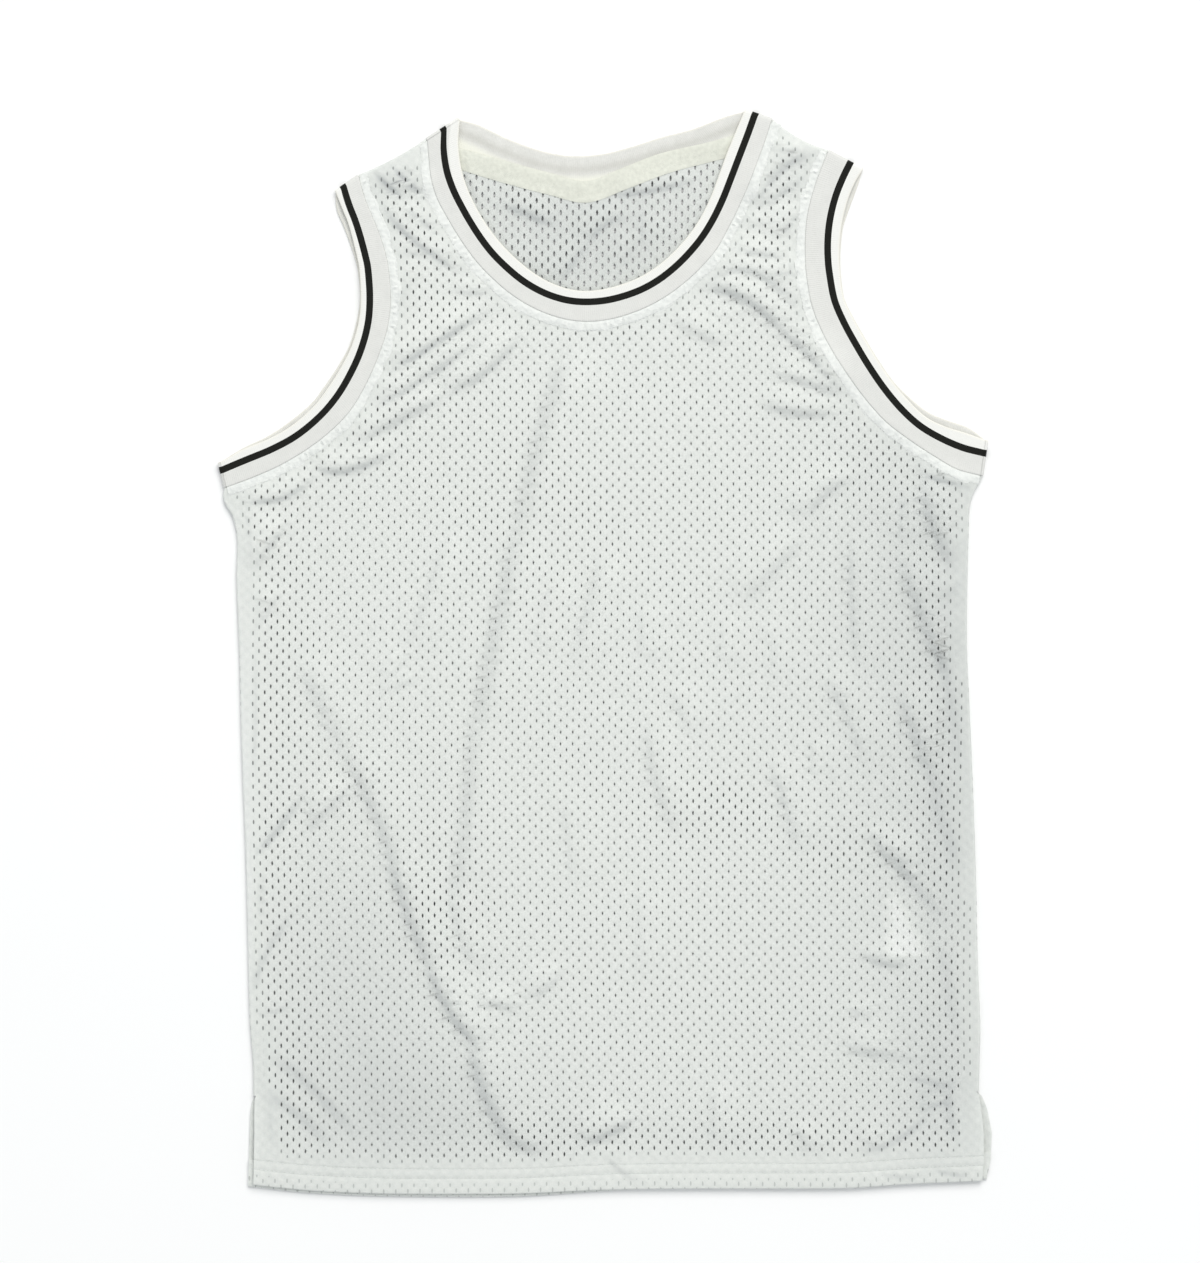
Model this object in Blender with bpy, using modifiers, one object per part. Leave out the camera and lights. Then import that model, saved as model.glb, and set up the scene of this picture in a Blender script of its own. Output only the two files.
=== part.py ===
"""A sleeveless mesh jersey laid flat: front and back panels with turned-up hems and side vents, a rib
neckband, two rib armbands, a back neck tape and a blank care label.

Sizes are in millimetres and become metres where a mesh is made. X runs to the viewer's right, Y towards
the neck and Z up. The origin is on the table, under the middle of the garment.
"""

from collections import namedtuple

import bmesh
import bpy
import numpy as np

MM = 0.001

# Cloth, rib and the clearance at every seam.
WALL = 1.0
RIB = 1.6
GAP = 0.3
MERGE = 0.01

# Heights of the middle of each layer above the table.
BACK_MID = WALL / 2
FRONT_MID = 3.2
RIB_BACK_MID = RIB / 2 + 0.01
RIB_FRONT_MID = 3.9
ON_BACK_MID = WALL + GAP + WALL / 2

# Where front turns over into back: the cloth at the side seams, the rib at shoulders and underarms.
SIDE_TURN = (FRONT_MID - BACK_MID) / 2
SIDE_INSET = SIDE_TURN + WALL / 2
RIB_TURN = (RIB_FRONT_MID - RIB_BACK_MID) / 2
RIB_INSET = RIB_TURN + RIB / 2
TURN_ANGLES = (0.61, 1.22)
RIB_TURN_STEPS = 5

# Hem: the raw edge is turned up inside and lies GAP under, or over, its own panel.
HEM_DEPTH = 18.5
HEM_RISE = 1.2
HEM_RAMP = (19.5, 34.0)
HEM_STEPS = 4
HEM_RADIUS = (WALL + GAP) / 2
HEM_ROWS = (HEM_DEPTH, 9.0, HEM_RADIUS + WALL / 2)
HEM_ENDS = (-236.0, 255.0)

# How finely each stretch is divided.
STRAP_COLUMNS = 5
STRAP_ROWS = 7
ARMHOLE_ROWS = 10
NECK_COLUMNS = 12
BACK_NECK_COLUMNS = 10
VENT_ROWS = 2
UNDERARM_ROWS = 3
FRONT_SIDE_ROWS = 20
BACK_SIDE_ROWS = 9
BAND_COLUMNS = 2
CURVE_SAMPLES = 240
CREASE_SAMPLES = 25
CREASE_TAPER = 0.7
SIDE_PROBE = 0.05

TAPE_WIDTH = 9.0
TAPE_OFF_SEAM = 0.7
TAPE_ENDS = (0.9, 10.1)
TAPE_STATIONS = 20

# The middle of the garment's box, which becomes the origin.
MIDDLE = (-0.13, 1.67)

# A station along a band: its free edge, its seam edge, and how far its back layer shows past the front.
Station = namedtuple("Station", "free_x free_y seam_x seam_y back_out", defaults=(0.0,))

FRONT_NECK = [
    Station(-97.5, 364.0, -120.0, 349.5),
    Station(-98.5, 349.5, -119.0, 339.0),
    Station(-98.0, 337.0, -118.5, 329.0),
    Station(-95.0, 322.5, -115.5, 314.0),
    Station(-90.0, 309.5, -110.0, 302.0),
    Station(-82.0, 294.5, -100.0, 284.5),
    Station(-68.5, 276.5, -84.0, 262.5),
    Station(-49.0, 259.0, -60.5, 241.5),
    Station(-30.0, 249.0, -35.5, 229.0),
    Station(-12.5, 246.0, -12.5, 225.0),
    Station(5.0, 248.5, 10.0, 228.0),
    Station(24.0, 255.5, 34.0, 237.5),
    Station(41.0, 267.0, 55.0, 252.0),
    Station(57.0, 284.0, 74.0, 271.5),
    Station(68.5, 302.5, 86.5, 293.5),
    Station(76.5, 322.5, 96.0, 314.0),
    Station(82.5, 339.0, 103.0, 332.0),
    Station(88.0, 352.5, 108.0, 345.5),
    Station(95.0, 369.0, 113.5, 362.5),
]
NECK_CORNERS = (6.0, 12.5)

BACK_NECK = [
    Station(-97.5, 364.0, -120.0, 349.5),
    Station(-90.0, 360.5, -107.0, 340.5),
    Station(-77.5, 354.0, -88.0, 334.5),
    Station(-57.5, 345.5, -64.0, 327.5),
    Station(-35.0, 338.5, -37.5, 320.5),
    Station(-12.5, 337.0, -12.0, 315.0),
    Station(10.5, 341.0, 14.5, 324.5),
    Station(32.5, 348.0, 39.5, 334.0),
    Station(57.5, 354.5, 68.0, 341.0),
    Station(78.0, 362.0, 90.0, 346.5),
    Station(88.0, 366.5, 104.5, 352.5),
    Station(95.0, 369.0, 113.5, 362.5),
]

LEFT_ARM = [
    Station(-182.0, 314.0, -166.0, 325.0, 0.0),
    Station(-177.5, 302.5, -161.5, 309.0, 3.5),
    Station(-173.0, 291.5, -156.5, 296.5, 3.5),
    Station(-169.0, 277.0, -150.0, 280.0, 2.2),
    Station(-165.5, 260.0, -145.5, 261.5, 1.0),
    Station(-164.5, 241.5, -144.0, 240.5, 0.5),
    Station(-166.5, 222.5, -147.0, 217.0, 1.5),
    Station(-173.0, 203.5, -155.0, 195.5, 1.5),
    Station(-183.5, 185.5, -167.0, 171.0, 2.5),
    Station(-194.0, 170.5, -182.5, 153.0, 2.5),
    Station(-210.5, 155.5, -201.0, 138.5, 3.0),
    Station(-231.0, 144.0, -224.5, 125.0, 1.5),
    Station(-247.5, 137.5, -242.0, 118.0, 0.7),
    Station(-261.0, 129.5, -257.0, 112.5, 0.0),
]
LEFT_BASE = 4.0

RIGHT_ARM = [
    Station(175.0, 329.0, 151.0, 341.5, 0.0),
    Station(168.0, 317.0, 145.0, 326.5, 2.6),
    Station(163.5, 305.0, 139.5, 310.0, 2.8),
    Station(160.0, 290.0, 136.0, 293.5, 1.2),
    Station(158.5, 273.5, 135.0, 275.0, 0.8),
    Station(159.0, 257.5, 136.0, 255.5, 0.5),
    Station(161.5, 240.5, 139.5, 236.0, 0.5),
    Station(169.5, 224.0, 148.0, 215.0, 0.6),
    Station(179.0, 207.5, 159.0, 196.0, 0.8),
    Station(187.5, 194.0, 170.0, 180.5, 0.8),
    Station(197.0, 181.0, 180.5, 167.0, 1.0),
    Station(208.0, 169.0, 193.5, 154.0, 2.4),
    Station(221.5, 157.5, 211.0, 141.5, 4.0),
    Station(233.5, 153.5, 225.0, 132.5, 4.4),
    Station(245.5, 149.5, 238.5, 125.0, 3.6),
    Station(259.0, 144.5, 255.5, 120.5, 0.0),
]
RIGHT_BASE = 5.0

SHOULDER_SAG = {"left": 1.6, "right": 2.6}

# The side seams, from the underarm down to where the vent opens, then each panel's own edge to the hem.
Point = namedtuple("Point", "x y")
LEFT_SIDE = [
    Point(-257.0, 112.5),
    Point(-257.5, 107.0),
    Point(-255.5, 101.0),
    Point(-251.5, 94.5),
    Point(-248.8, 85.0),
    Point(-247.8, 74.0),
    Point(-248.5, 54.0),
    Point(-247.5, 25.0),
    Point(-246.5, 0.0),
    Point(-245.5, -45.0),
    Point(-244.0, -90.0),
    Point(-242.0, -140.0),
    Point(-240.7, -200.0),
    Point(-239.5, -245.0),
    Point(-237.2, -275.0),
    Point(-237.0, -297.0),
]
RIGHT_SIDE = [
    Point(255.5, 120.5),
    Point(252.8, 116.0),
    Point(249.0, 109.0),
    Point(246.7, 100.5),
    Point(246.0, 90.0),
    Point(245.4, 65.0),
    Point(244.7, 30.0),
    Point(244.9, 0.0),
    Point(246.7, -40.0),
    Point(248.7, -87.0),
    Point(250.8, -148.0),
    Point(252.0, -205.0),
    Point(253.7, -248.0),
    Point(253.2, -275.0),
    Point(252.8, -294.0),
]
UNDERARM_KNOT = 3.0

VentEdge = namedtuple("VentEdge", "y front back")
LEFT_VENT = [
    VentEdge(-297.0, -236.0, -237.0),
    VentEdge(-308.0, -236.2, -239.0),
    VentEdge(-324.0, -236.2, -239.6),
    VentEdge(-340.0, -236.4, -240.0),
    VentEdge(-357.0, -236.8, -240.4),
]
RIGHT_VENT = [
    VentEdge(-294.0, 252.0, 253.2),
    VentEdge(-305.0, 254.0, 258.0),
    VentEdge(-322.0, 255.8, 261.4),
    VentEdge(-340.0, 255.8, 260.6),
    VentEdge(-355.0, 254.8, 257.4),
]

HemPoint = namedtuple("HemPoint", "x front back")
HEM = [
    HemPoint(-240.0, -357.0, -358.5),
    HemPoint(-200.0, -361.0, -362.8),
    HemPoint(-150.0, -363.2, -365.0),
    HemPoint(-60.0, -363.2, -365.2),
    HemPoint(0.0, -360.6, -361.6),
    HemPoint(60.0, -359.8, -358.8),
    HemPoint(160.0, -359.6, -358.2),
    HemPoint(205.0, -356.8, -355.8),
    HemPoint(255.0, -354.6, -353.6),
]

# Folds: three points along the crease, its height and its half width.
Fold = namedtuple("Fold", "x0 y0 x1 y1 x2 y2 height width")
FRONT_FOLDS = [
    Fold(-159.5, 321.0, -112.5, 284.0, -91.0, 259.5, 3.6, 8.0),
    Fold(-118.5, 303.5, -131.5, 314.0, -144.0, 325.0, 2.2, 7.0),
    Fold(-70.5, 238.0, -108.5, 214.5, -144.0, 190.5, 5.0, 9.0),
    Fold(-59.0, 226.5, -108.5, 192.5, -159.5, 163.0, 4.2, 10.0),
    Fold(-144.0, 137.5, -176.0, 125.0, -199.5, 125.0, 3.0, 9.0),
    Fold(-29.5, 210.5, -51.0, 121.0, -59.0, 79.5, 2.6, 16.0),
    Fold(-45.5, 135.5, -75.5, 26.5, -86.5, -52.5, 4.2, 14.0),
    Fold(-86.5, -52.5, -100.0, -156.5, -78.5, -219.5, 4.6, 13.0),
    Fold(-111.0, 56.5, -126.5, 16.5, -138.0, -9.0, 2.4, 14.0),
    Fold(-213.5, 43.0, -228.0, 26.0, -236.0, 20.5, 2.8, 9.0),
    Fold(-178.0, -88.0, -207.5, -105.5, -230.0, -134.0, 5.0, 10.0),
    Fold(-200.0, -170.5, -212.5, -186.5, -229.0, -212.5, 3.2, 9.0),
    Fold(-180.0, -48.5, -142.0, -143.5, -115.0, -219.5, 6.2, 13.0),
    Fold(-128.0, -185.0, -88.0, -262.0, -60.5, -327.5, 6.6, 12.0),
    Fold(-86.0, -230.5, -62.5, -236.0, -44.5, -246.5, 3.4, 8.0),
    Fold(-214.5, -279.0, -192.5, -299.5, -165.5, -327.5, 3.6, 9.0),
    Fold(-15.0, -318.5, 8.0, -330.5, 24.5, -338.5, 2.6, 8.0),
    Fold(152.0, 343.0, 134.0, 331.0, 97.0, 295.5, 4.4, 9.0),
    Fold(69.0, 248.0, 128.5, 210.5, 161.5, 172.5, 5.0, 10.0),
    Fold(97.0, 259.5, 118.5, 246.0, 142.0, 224.5, 3.0, 9.0),
    Fold(167.5, 126.0, 122.5, 78.0, 101.0, 35.0, 3.4, 12.0),
    Fold(205.5, 109.5, 225.0, 90.0, 240.0, 60.5, 4.6, 8.0),
    Fold(213.5, 50.5, 225.0, 22.5, 239.5, -5.0, 3.4, 10.0),
    Fold(167.5, 56.5, 167.5, 7.0, 173.0, -18.5, 1.8, 9.0),
    Fold(207.5, -22.5, 222.0, -92.0, 242.5, -132.0, 3.2, 12.0),
    Fold(33.5, -22.5, 32.0, -50.5, 31.5, -82.0, 2.0, 14.0),
    Fold(-4.5, 76.0, -10.5, 56.5, -14.5, 30.5, 1.8, 12.0),
    Fold(116.5, -52.5, 124.5, -82.0, 128.5, -111.5, 1.8, 12.0),
    Fold(192.5, -134.5, 212.5, -156.5, 232.0, -175.0, 3.0, 9.0),
    Fold(164.0, -266.5, 189.5, -267.5, 212.0, -268.5, 2.0, 9.0),
    Fold(192.5, -325.0, 214.5, -308.0, 239.5, -298.5, 3.0, 10.0),
]
BACK_FOLDS = [
    Fold(-48.0, 292.0, -18.0, 286.0, 14.0, 296.0, 0.9, 11.0),
    Fold(-60.0, 306.0, -40.0, 270.0, -34.0, 238.0, 0.8, 12.0),
    Fold(40.0, 306.0, 24.0, 274.0, 20.0, 244.0, 0.8, 12.0),
    Fold(-120.0, 240.0, -150.0, 205.0, -192.0, 150.0, 0.9, 13.0),
    Fold(116.0, 232.0, 138.0, 190.0, 186.0, 140.0, 0.9, 13.0),
    Fold(-212.0, 30.0, -160.0, -10.0, -120.0, -62.0, 0.8, 14.0),
    Fold(200.0, -40.0, 168.0, -120.0, 150.0, -190.0, 0.8, 14.0),
    Fold(-196.0, -180.0, -150.0, -232.0, -96.0, -292.0, 0.9, 14.0),
]

# Broad swells of the front where air lies under the cloth.
Swell = namedtuple("Swell", "x y reach_x reach_y height")
FRONT_SWELLS = [
    Swell(-20.0, 150.0, 120.0, 70.0, 1.6),
    Swell(60.0, 20.0, 150.0, 110.0, 1.8),
    Swell(-150.0, -10.0, 70.0, 120.0, 1.4),
    Swell(40.0, -190.0, 130.0, 90.0, 1.6),
    Swell(-130.0, -290.0, 90.0, 40.0, 1.2),
]

# Where the relief dies away: near turned edges fully, near the hem partly.
EDGE_FADE = 13.0
SAG_ROOM = 2.0
HEM_FADE = (20.0, 52.0)
HEM_KEEP = 0.35
RELIEF_LIMIT = 9.5

# The label's length and width, its middle, and its lean.
LABEL_SIZE = (53.0, 44.0)
LABEL_CENTRE = (219.0, -180.5)
LABEL_LEAN = 0.03
LABEL_COLUMNS = 5
LABEL_ROWS = 4

# Colour, then roughness.
Finish = namedtuple("Finish", "name colour roughness")
MESH_CLOTH = Finish("mesh_cloth", (0.76, 0.79, 0.76, 1.0), 0.75)
RIB_KNIT = Finish("rib_knit", (0.86, 0.87, 0.83, 1.0), 0.8)
TAPE_CLOTH = Finish("tape_cloth", (0.88, 0.88, 0.78, 1.0), 0.7)
LABEL_SATIN = Finish("label_satin", (0.92, 0.93, 0.92, 1.0), 0.45)


def spline(rows, at):
    """Points on the smooth curve through rows, at parameters that count rows."""
    rows = np.asarray(rows, float)
    at = np.clip(np.atleast_1d(np.asarray(at, float)), 0.0, len(rows) - 1.0)
    first = np.minimum(at.astype(int), len(rows) - 2)
    t = (at - first)[:, None]
    padded = np.vstack([2 * rows[0] - rows[1], rows, 2 * rows[-1] - rows[-2]])
    a, b, c, d = (padded[first + shift] for shift in range(4))
    cubic = 2 * b + (c - a) * t
    cubic += (2 * a - 5 * b + 4 * c - d) * t**2
    cubic += (3 * b - a - 3 * c + d) * t**3
    return cubic / 2


def evenly(rows, start, end, count, columns):
    """The count + 1 parameters from start to end that are an equal length apart in those columns."""
    dense = np.linspace(start, end, CURVE_SAMPLES)
    points = spline(rows, dense)[:, columns]
    steps = np.linalg.norm(np.diff(points, axis=0), axis=1)
    length = np.concatenate([[0.0], np.cumsum(steps)])
    return np.interp(np.linspace(0.0, length[-1], count + 1), length, dense)


def unit(vectors):
    vectors = np.asarray(vectors, float)
    return vectors / np.linalg.norm(vectors, axis=-1, keepdims=True)


def along(rows, start, end, count):
    """The stretch of a band's table from start to end, as count + 1 rows of free x, y and seam x, y."""
    table = np.array([row[:5] for row in rows])
    return spline(table, evenly(table, start, end, count, slice(2, 4)))


def outward(station, inside):
    """The direction across a fold line, which runs from seam to free edge, away from the inside."""
    across = unit(station[0:2] - station[2:4])
    normal = np.array([-across[1], across[0]])
    return normal if normal @ (station[2:4] - inside) > 0 else -normal


def pull_in(stretch, at_end, out):
    """Moves a stretch's last station back along its own edges until it is RIB_INSET short of the fold."""
    last, before = (-1, -2) if at_end else (0, 1)
    moved = stretch.copy()
    for part in (slice(0, 2), slice(2, 4)):
        direction = unit(stretch[before, part] - stretch[last, part])
        moved[last, part] += direction * RIB_INSET / (direction @ -out)
    return moved


def front_edges():
    """The stretches of the front's seams, each pulled in where it meets a fold."""
    neck_left = along(FRONT_NECK, NECK_CORNERS[0], 0, STRAP_ROWS)
    neck_right = along(FRONT_NECK, NECK_CORNERS[1], len(FRONT_NECK) - 1, STRAP_ROWS)
    left_up = along(LEFT_ARM, LEFT_BASE, 0, STRAP_ROWS)
    right_up = along(RIGHT_ARM, RIGHT_BASE, 0, STRAP_ROWS)
    left_low = along(LEFT_ARM, len(LEFT_ARM) - 1, LEFT_BASE, ARMHOLE_ROWS)
    right_low = along(RIGHT_ARM, len(RIGHT_ARM) - 1, RIGHT_BASE, ARMHOLE_ROWS)
    out = fold_directions()
    return {
        "neck_left": pull_in(neck_left, True, out["left_shoulder"]),
        "neck_arc": along(FRONT_NECK, *NECK_CORNERS, NECK_COLUMNS),
        "neck_right": pull_in(neck_right, True, out["right_shoulder"]),
        "left_up": pull_in(left_up, True, out["left_shoulder"]),
        "right_up": pull_in(right_up, True, out["right_shoulder"]),
        "left_low": pull_in(left_low, False, out["left_underarm"]),
        "right_low": pull_in(right_low, False, out["right_underarm"]),
    }


def fold_directions():
    """The way out of the garment at each line where the bands fold over."""
    middle = np.zeros(2)
    shoulder = {"left": (LEFT_ARM[0], FRONT_NECK[0]), "right": (RIGHT_ARM[0], FRONT_NECK[-1])}
    found = {}
    for side, (arm, neck) in shoulder.items():
        line = np.array([neck.seam_x, neck.seam_y, arm.seam_x, arm.seam_y])
        found[side + "_shoulder"] = outward(line, middle)
    found["left_underarm"] = outward(np.array(LEFT_ARM[-1][:4]), middle)
    found["right_underarm"] = outward(np.array(RIGHT_ARM[-1][:4]), middle)
    return found


def back_arm(stretch):
    """A stretch of an armband as it lies on the table, moved out past the front by its own column."""
    across = unit(stretch[:, 0:2] - stretch[:, 2:4])
    moved = stretch.copy()
    moved[:, 0:2] += across * stretch[:, 4:5]
    moved[:, 2:4] += across * stretch[:, 4:5]
    return moved


def side_edge(rows, side_rows):
    """The side seam's flat edge from the vent up to just below the underarm, and its ways out."""
    table = np.array(rows)
    every = slice(0, 2)
    low = evenly(table, len(rows) - 1, UNDERARM_KNOT, side_rows, every)
    high = evenly(table, UNDERARM_KNOT, 0, UNDERARM_ROWS, every)
    at = np.concatenate([low, high[1:-1]])
    points = spline(table, at)
    ahead = spline(table, at - SIDE_PROBE) - spline(table, at + SIDE_PROBE)
    normals = unit(np.column_stack([-ahead[:, 1], ahead[:, 0]]))
    normals *= np.sign(normals[:, :1] * points[:, :1])
    return points - normals * SIDE_INSET, normals


def vent_edge(rows, layer, hem_corner):
    """A panel's own edge beside the vent, from the top of the hem up to the last row below the vent."""
    heights = np.linspace(hem_corner[1], rows[0].y, VENT_ROWS + 1)[:-1]
    edge = np.column_stack([vent_x(rows, heights, layer), heights])
    edge[0] = hem_corner
    return edge


def vent_x(rows, heights, layer):
    table = sorted((row.y, getattr(row, layer)) for row in rows)
    return np.interp(heights, [row[0] for row in table], [row[1] for row in table])


def hem_line(x, layer):
    """The height on the page of a panel's bottom edge."""
    at = np.interp(x, [row.x for row in HEM], np.arange(len(HEM)))
    return spline([[getattr(row, layer)] for row in HEM], at)[:, 0]


def coons(left, right, bottom, top):
    """The grid that fills four edges. Left and right run upwards, bottom and top to the right."""
    v = np.linspace(0.0, 1.0, len(left))[:, None, None]
    u = np.linspace(0.0, 1.0, len(bottom))[None, :, None]
    sides = (1 - u) * left[:, None] + u * right[:, None]
    ends = (1 - v) * bottom[None] + v * top[None]
    corners = (1 - v) * ((1 - u) * bottom[0] + u * bottom[-1])
    corners = corners + v * ((1 - u) * top[0] + u * top[-1])
    return sides + ends - corners


def straight(start, end, count):
    return start + (end - start) * np.linspace(0.0, 1.0, count + 1)[:, None]


def shoulder_row(arm, neck, out, sag):
    """The shoulder from the armhole's seam to the neck's, dipping by sag in the middle."""
    row = straight(arm, neck, STRAP_COLUMNS)
    share = np.linspace(0.0, 1.0, STRAP_COLUMNS + 1)
    return row - out * (4 * sag * share * (1 - share))[:, None]


def ridge(points, fold):
    """The height that one fold adds at each point, dying away at its ends."""
    t = np.linspace(0.0, 1.0, CREASE_SAMPLES)[:, None]
    start, bend, end = (np.array(fold[i : i + 2]) for i in (0, 2, 4))
    control = 2 * bend - (start + end) / 2
    line = (1 - t) ** 2 * start + 2 * t * (1 - t) * control + t**2 * end
    gaps = np.linalg.norm(points[:, None] - line[None], axis=2)
    nearest = gaps.argmin(axis=1)
    share = nearest / (len(line) - 1)
    taper = np.sin(np.pi * share) ** CREASE_TAPER
    return fold.height * taper * np.exp(-((gaps.min(axis=1) / fold.width) ** 2))


def ease(value):
    value = np.clip(value, 0.0, 1.0)
    return value * value * (3 - 2 * value)


def edge_fade(points):
    """0 at every turned edge of the front and 1 further in."""
    directions = fold_directions()
    corners = {
        "left_shoulder": LEFT_ARM[0],
        "right_shoulder": RIGHT_ARM[0],
        "left_underarm": LEFT_ARM[-1],
        "right_underarm": RIGHT_ARM[-1],
    }
    fade = np.ones(len(points))
    for name, station in corners.items():
        depth = (np.array([station.seam_x, station.seam_y]) - points) @ directions[name]
        fade *= ease((depth - RIB_INSET - SAG_ROOM) / EDGE_FADE)
    for rows in (LEFT_SIDE, RIGHT_SIDE):
        table = np.array(rows)[::-1]
        edge = np.interp(points[:, 1], table[:, 1], table[:, 0])
        inside = (edge - points[:, 0]) * np.sign(edge)
        below = points[:, 1] < table[-1, 1]
        fade *= np.where(below, ease((inside - SIDE_INSET) / EDGE_FADE), 1.0)
    return fade


def relief(points):
    """The height of the front's folds and swells at each point."""
    total = sum(ridge(points, fold) for fold in FRONT_FOLDS)
    for swell in FRONT_SWELLS:
        away = ((points[:, 0] - swell.x) / swell.reach_x) ** 2
        away += ((points[:, 1] - swell.y) / swell.reach_y) ** 2
        total = total + swell.height * np.exp(-away)
    above_hem = points[:, 1] - hem_line(points[:, 0], "front")
    start, end = HEM_FADE
    keep = HEM_KEEP + (1 - HEM_KEEP) * ease((above_hem - start) / (end - start))
    return RELIEF_LIMIT * np.tanh(total * keep * edge_fade(points) / RELIEF_LIMIT)


def front_height(points, middle=FRONT_MID):
    """The middle of a front layer above the table: folds, and the rise over the doubled hem."""
    above_hem = points[:, 1] - hem_line(points[:, 0], "front")
    start, reach = HEM_RAMP
    rise = HEM_RISE * ease(1 - (above_hem - start) / reach)
    return middle + relief(points) + rise


def back_height(points):
    return BACK_MID + sum(ridge(points, fold) for fold in BACK_FOLDS)


def lifted(grid, height):
    """A flat grid of points with the height of each added."""
    flat = grid.reshape(-1, 2)
    return np.column_stack([flat, height(flat)]).reshape(*grid.shape[:-1], 3)


def turned(edge, normals, layer):
    """The turn by which a panel's flat edge comes within GAP of the other panel's, edge to edge."""
    side = 1 if layer is front_height else -1
    reach = [np.sin(angle) * SIDE_TURN for angle in TURN_ANGLES]
    drop = [np.cos(angle) * SIDE_TURN for angle in TURN_ANGLES]
    rows = [lifted(edge, layer)]
    for out, height in zip(reach + reach[-1:], drop + [GAP / 2]):
        level = np.full(len(edge), BACK_MID + SIDE_TURN + side * height)
        rows.append(np.column_stack([edge + normals * out, level]))
    return np.array(rows)


def hem_grid(left_rows, right_rows, layer, columns, height, inward):
    """The hem: the panel's last rows, the fold, and the turned-up edge on its inner side."""
    share = np.linspace(0.0, 1.0, columns + 1)
    ends = hem_line(np.array(HEM_ENDS), layer)
    flat = []
    for offset in HEM_ROWS:
        level = ends + offset
        left = vent_x(left_rows, level[:1], layer)[0]
        right = vent_x(right_rows, level[1:], layer)[0]
        x = left + (right - left) * share
        flat.append(np.column_stack([x, hem_line(x, layer) + offset]))
    flat = np.array(flat)
    shown = lifted(flat, height)
    hidden = shown[::-1].copy()
    hidden[..., 2] += inward * 2 * HEM_RADIUS
    last = shown[-1]
    fold = []
    for angle in np.linspace(0.0, np.pi, HEM_STEPS + 1)[1:-1]:
        row = last.copy()
        row[:, 1] -= HEM_RADIUS * np.sin(angle)
        row[:, 2] += inward * HEM_RADIUS * (1 - np.cos(angle))
        fold.append(row)
    return np.concatenate([shown, fold, hidden])


def add_grid(shape, points):
    """Adds a grid of faces to a bmesh, with its vertices at the given rows of points."""
    rows, columns = points.shape[0] - 1, points.shape[1] - 1
    made = bmesh.ops.create_grid(shape, x_segments=columns, y_segments=rows, size=1.0)
    for vertex in made["verts"]:
        column = round((vertex.co.x + 1) / 2 * columns)
        row = round((vertex.co.y + 1) / 2 * rows)
        place = points[row, column] - np.array([*MIDDLE, 0.0])
        vertex.co = place * MM


def material(finish):
    made = bpy.data.materials.get(finish.name) or bpy.data.materials.new(finish.name)
    made.use_nodes = True
    shader = made.node_tree.nodes["Principled BSDF"]
    shader.inputs["Base Color"].default_value = finish.colour
    shader.inputs["Roughness"].default_value = finish.roughness
    made.diffuse_color = finish.colour
    return made


def cloth(name, grids, thickness, finish, collection):
    """One sewn piece: its grids joined along their shared edges and given their thickness."""
    shape = bmesh.new()
    for grid in grids:
        add_grid(shape, grid)
    bmesh.ops.remove_doubles(shape, verts=shape.verts, dist=MERGE * MM)
    bmesh.ops.recalc_face_normals(shape, faces=shape.faces)
    mesh = bpy.data.meshes.new(name)
    shape.to_mesh(mesh)
    shape.free()
    mesh.materials.append(material(finish))
    piece = bpy.data.objects.new(name, mesh)
    collection.objects.link(piece)
    wall = piece.modifiers.new("wall", "SOLIDIFY")
    wall.thickness = thickness * MM
    wall.offset = 0.0
    wall.use_even_offset = True
    return piece


def seam(stretch):
    return stretch[:, 2:4]


def front_panel(collection):
    edges, out = front_edges(), fold_directions()
    left, left_out = side_edge(LEFT_SIDE, FRONT_SIDE_ROWS)
    right, right_out = side_edge(RIGHT_SIDE, FRONT_SIDE_ROWS)
    base_left = straight(seam(edges["left_up"])[0], seam(edges["neck_left"])[0], STRAP_COLUMNS)
    base_right = straight(seam(edges["neck_right"])[0], seam(edges["right_up"])[0], STRAP_COLUMNS)
    top = np.concatenate([base_left, seam(edges["neck_arc"])[1:], base_right[1:]])
    columns = len(top) - 1
    hem = hem_grid(LEFT_VENT, RIGHT_VENT, "front", columns, front_height, -1)
    bottom = hem[0, :, :2]
    body = coons(
        np.concatenate([vent_edge(LEFT_VENT, "front", bottom[0]), left, seam(edges["left_low"])]),
        np.concatenate([vent_edge(RIGHT_VENT, "front", bottom[-1]), right, seam(edges["right_low"])]),
        bottom,
        top,
    )
    grids = [lifted(body, front_height), hem]
    for side, neck, arm in (("left", "neck_left", "left_up"), ("right", "neck_right", "right_up")):
        way = out[side + "_shoulder"]
        row = shoulder_row(seam(edges[arm])[-1], seam(edges[neck])[-1], way, SHOULDER_SAG[side])
        base = base_left if side == "left" else base_right[::-1]
        strap = coons(seam(edges[arm]), seam(edges[neck]), base, row)
        grids.append(lifted(strap, front_height))
        grids.append(turned(row, way, front_height))
    for side, flat, normals in (("left", left, left_out), ("right", right, right_out)):
        grids.append(side_turn(side, flat, normals, edges, out, front_height))
    return cloth("front_panel", grids, WALL, MESH_CLOTH, collection)


def side_turn(side, flat, normals, edges, out, layer):
    """The turned edge of a side seam, from the vent to the underarm's corner."""
    corner = seam(edges[side + "_low"])[:1]
    way = out[side + "_underarm"][None]
    return turned(np.concatenate([flat, corner]), np.concatenate([normals, way]), layer)


def back_armhole(side, edges):
    """The back armhole's seam from the underarm to the shoulder."""
    low, high = back_arm(edges[side + "_low"]), back_arm(edges[side + "_up"])
    return np.concatenate([low, high[1:]])


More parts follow.
